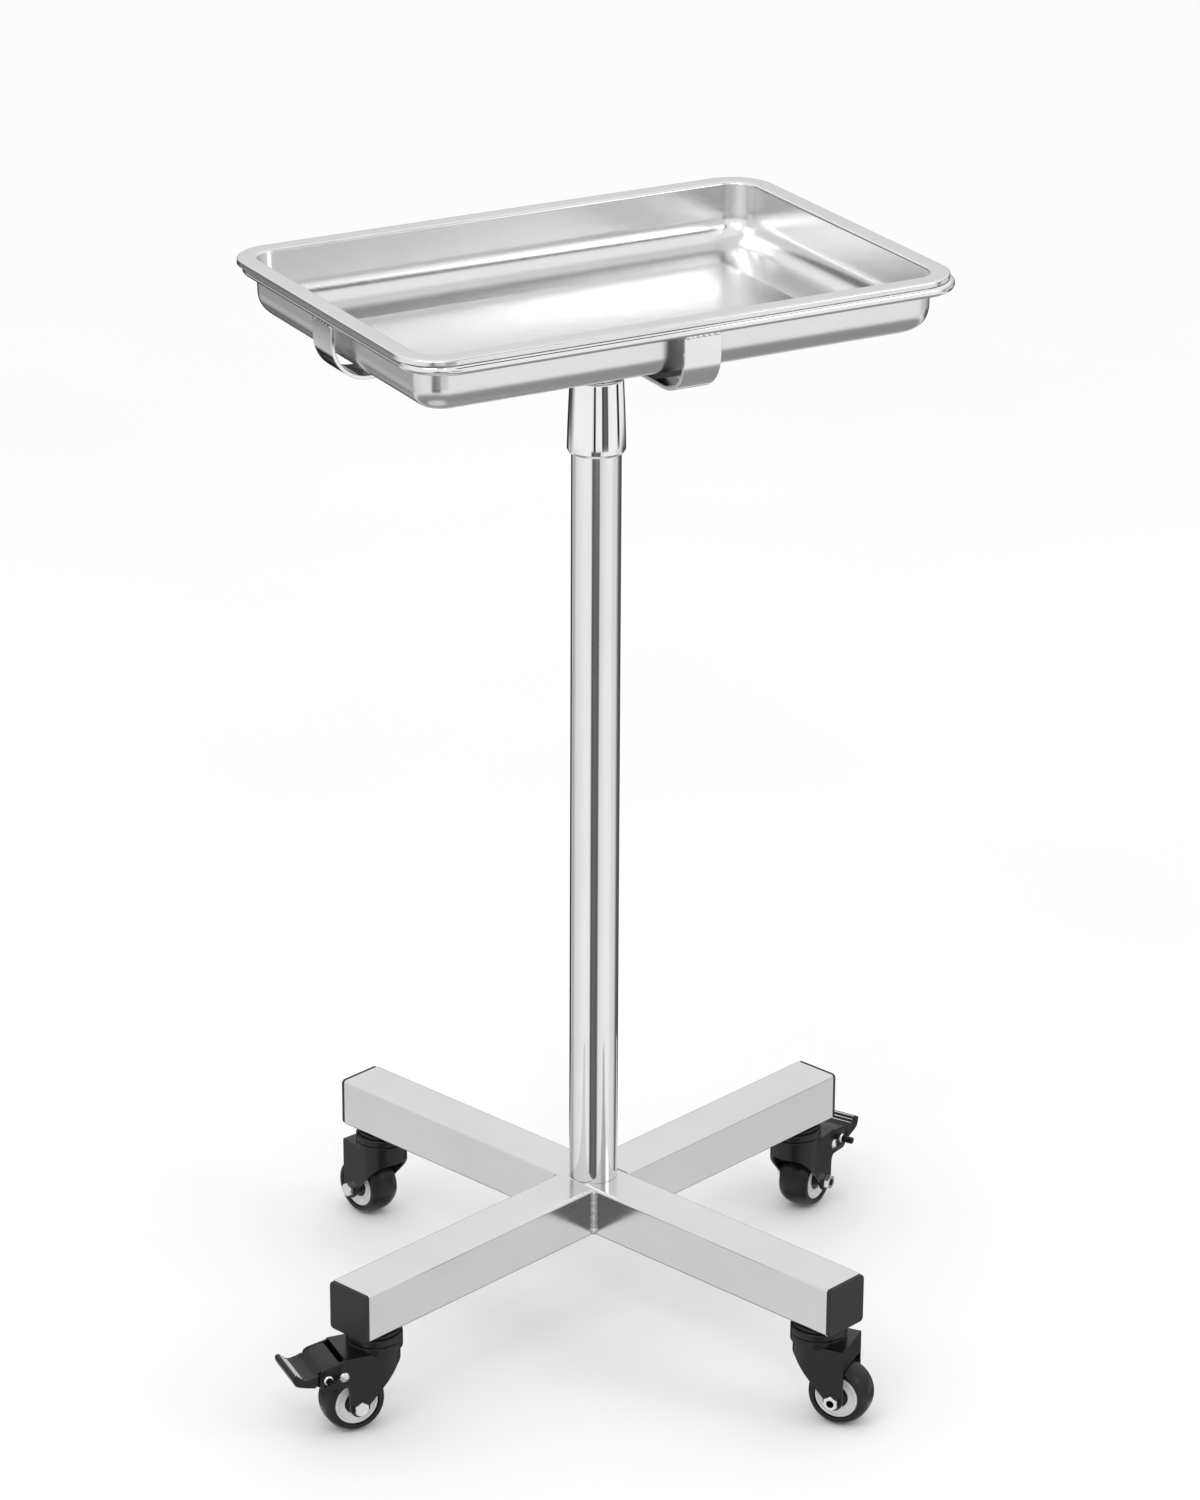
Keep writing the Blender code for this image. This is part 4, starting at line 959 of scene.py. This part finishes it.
def makeFloor():
    bpy.ops.object.select_all(action="DESELECT")
    bpy.ops.mesh.primitive_plane_add(size=40.0, location=(0, 0, 0))
    floor = bpy.context.object
    floor.name = "floor"
    made, tree, shader, coordinates = newMaterial("floorPaint", 0.0, 0.0, 0.2)
    clouds = grainAlong(tree, coordinates, (0, 0, 0), (0.6, 0.6, 0.6), 2.0)
    tone = blendColours(tree, between(tree, clouds, 0.0, 1.0), (0.93, 0.93, 0.93), (0.95, 0.95, 0.95))
    tree.links.new(tone, shader.inputs["Base Color"])
    shader.inputs["Roughness"].default_value = 0.8
    floor.data.materials.append(made)
    floor.visible_glossy = False


def ramp(tree, value, stops):
    made = addNode(tree, "ShaderNodeValToRGB", {"Fac": value})
    elements = made.color_ramp.elements
    while len(elements) < len(stops):
        elements.new(0.5)
    for element, (place, tone) in zip(elements, stops):
        element.position = place
        element.color = (tone, tone, tone, 1.0)
    return made.outputs["Color"]


def makeWorld():
    # white round the camera, and in reflections a studio of bright screens with dark gaps between them
    world = bpy.data.worlds.new("studio")
    bpy.context.scene.world = world
    world.use_nodes = True
    tree = world.node_tree
    background = tree.nodes["Background"]
    direction = addNode(tree, "ShaderNodeTexCoord").outputs["Generated"]
    towards = math.atan2(cameraSettings["place"][1], cameraSettings["place"][0])
    turned = addNode(tree, "ShaderNodeMapping", {"Vector": direction, "Rotation": (0, 0, -towards)})
    parts = addNode(tree, "ShaderNodeSeparateXYZ", {"Vector": turned.outputs["Vector"]})
    around = addNode(tree, "ShaderNodeMath", {0: parts.outputs["Y"], 1: parts.outputs["X"]}, operation="ARCTAN2")
    aroundShare = between(tree, around.outputs[0], 0.0, 1.0, -math.pi, math.pi)
    up = addNode(tree, "ShaderNodeMath", {0: parts.outputs["Z"]}, operation="ARCSINE")
    upShare = between(tree, up.outputs[0], 0.0, 1.0, -math.pi / 2, math.pi / 2)
    lowScreens = ramp(tree, aroundShare, [(angle / 360 + 0.5, tone) for angle, tone in (
        (-180, 0.02), (-142, 0.02), (-136, 0.60), (-118, 0.42), (-104, 0.78), (-50, 0.97), (-22, 0.95),
        (-17, 0.06), (-6, 0.16), (14, 0.10), (19, 0.80), (30, 0.88), (47, 0.97), (75, 0.95), (84, 0.80),
        (104, 0.80), (116, 0.45), (124, 0.12), (180, 0.05))])
    highScreens = ramp(tree, aroundShare, [(angle / 360 + 0.5, tone) for angle, tone in (
        (-180, 0.05), (-128, 0.05), (-118, 0.25), (-108, 0.55), (-96, 0.97), (-20, 0.97), (-12, 0.80),
        (-10, 0.01), (-4, 0.01), (-2, 0.97), (20, 0.95), (23, 0.02), (32, 0.14), (46, 0.10), (49, 0.95),
        (88, 1.0), (91, 0.02), (101, 0.02), (104, 0.95), (138, 0.90), (146, 0.05), (180, 0.05))])
    upper = ramp(tree, upShare, [(angle / 180 + 0.5, tone) for angle, tone in ((-17.8, 0.0), (-16.6, 1.0))])
    screens = blendColours(tree, upper, lowScreens, highScreens)
    frontHeights = ramp(tree, upShare, [(angle / 180 + 0.5, tone) for angle, tone in (
        (-90, 0.75), (-72, 0.75), (-64, 0.30), (-46, 0.34), (-36, 0.95), (0, 0.97), (90, 1.0))])
    backHeights = ramp(tree, upShare, [(angle / 180 + 0.5, tone) for angle, tone in (
        (-90, 0.75), (-72, 0.75), (-64, 0.30), (-46, 0.34), (-36, 0.90), (-8, 0.40), (2, 0.45), (12, 0.72),
        (20, 0.80), (24, 1.0), (90, 1.0))])
    band = ramp(tree, upShare, [(angle / 180 + 0.5, tone) for angle, tone in (
        (-34, 0.0), (-31, 1.0), (-9, 1.0), (-6, 0.0))])
    front = between(tree, parts.outputs["X"], 0.0, 1.0, -0.25, 0.25)
    heights = blendColours(tree, front, backHeights, frontHeights)
    # two dark flags: one that the tray's back band mirrors, and a greyer one for its right wall
    for reach, rise, tone in (
        (((34, 0.0), (42, 1.0), (80, 1.0), (86, 0.0)), ((26, 0.0), (29, 1.0), (42, 1.0), (46, 0.0)), 0.04),
        (((-150, 0.0), (-140, 1.0), (-112, 1.0), (-106, 0.0)), ((-10, 0.0), (0, 1.0), (24, 1.0), (30, 0.0)), 0.16),
    ):
        across = ramp(tree, aroundShare, [(angle / 360 + 0.5, amount) for angle, amount in reach])
        high = ramp(tree, upShare, [(angle / 180 + 0.5, amount) for angle, amount in rise])
        heights = blendColours(tree, multiply(tree, across, high), heights, (tone, tone, tone))
    studio = blendColours(tree, band, heights, screens)
    ray = addNode(tree, "ShaderNodeLightPath")
    seen = addNode(tree, "ShaderNodeMix", {"Factor": ray.outputs["Is Glossy Ray"]}, data_type="RGBA")
    seen.inputs[6].default_value = (1.0, 1.0, 1.0, 1.0)
    tree.links.new(studio, seen.inputs[7])
    tree.links.new(seen.outputs[2], background.inputs["Color"])
    background.inputs["Strength"].default_value = lightSettings["fill"]


def makeLight(name, place, size, power):
    bpy.ops.object.light_add(type="AREA", location=place)
    light = bpy.context.object
    light.name = name
    light.data.shape = "DISK"
    light.data.size = size
    light.data.energy = power
    light.rotation_euler = (Vector((0, 0, 0.45)) - Vector(place)).to_track_quat("-Z", "Y").to_euler()


def makeCamera():
    settings = cameraSettings
    bpy.ops.object.camera_add(location=settings["place"])
    camera = bpy.context.object
    camera.name = "camera"
    heading, tilt, roll = (math.radians(settings[key]) for key in ("heading", "tilt", "roll"))
    turn = Matrix.Rotation(heading, 3, "Z") @ Matrix.Rotation(tilt, 3, "X") @ Matrix.Rotation(roll, 3, "Z")
    camera.rotation_euler = turn.to_euler()
    camera.data.lens = settings["lens"]
    camera.data.sensor_width = settings["sensor"]
    camera.data.clip_end = 100.0
    bpy.context.scene.camera = camera


makeFloor()
makeWorld()
makeLight("keyLight", lightSettings["key"], lightSettings["keySize"], lightSettings["keyPower"])
makeLight("rimLight", lightSettings["rim"], lightSettings["rimSize"], lightSettings["rimPower"])
makeLight("sparkLight", lightSettings["spark"], lightSettings["sparkSize"], lightSettings["sparkPower"])
makeCamera()
bpy.context.scene.view_settings.view_transform = "Standard"
print("studio made")
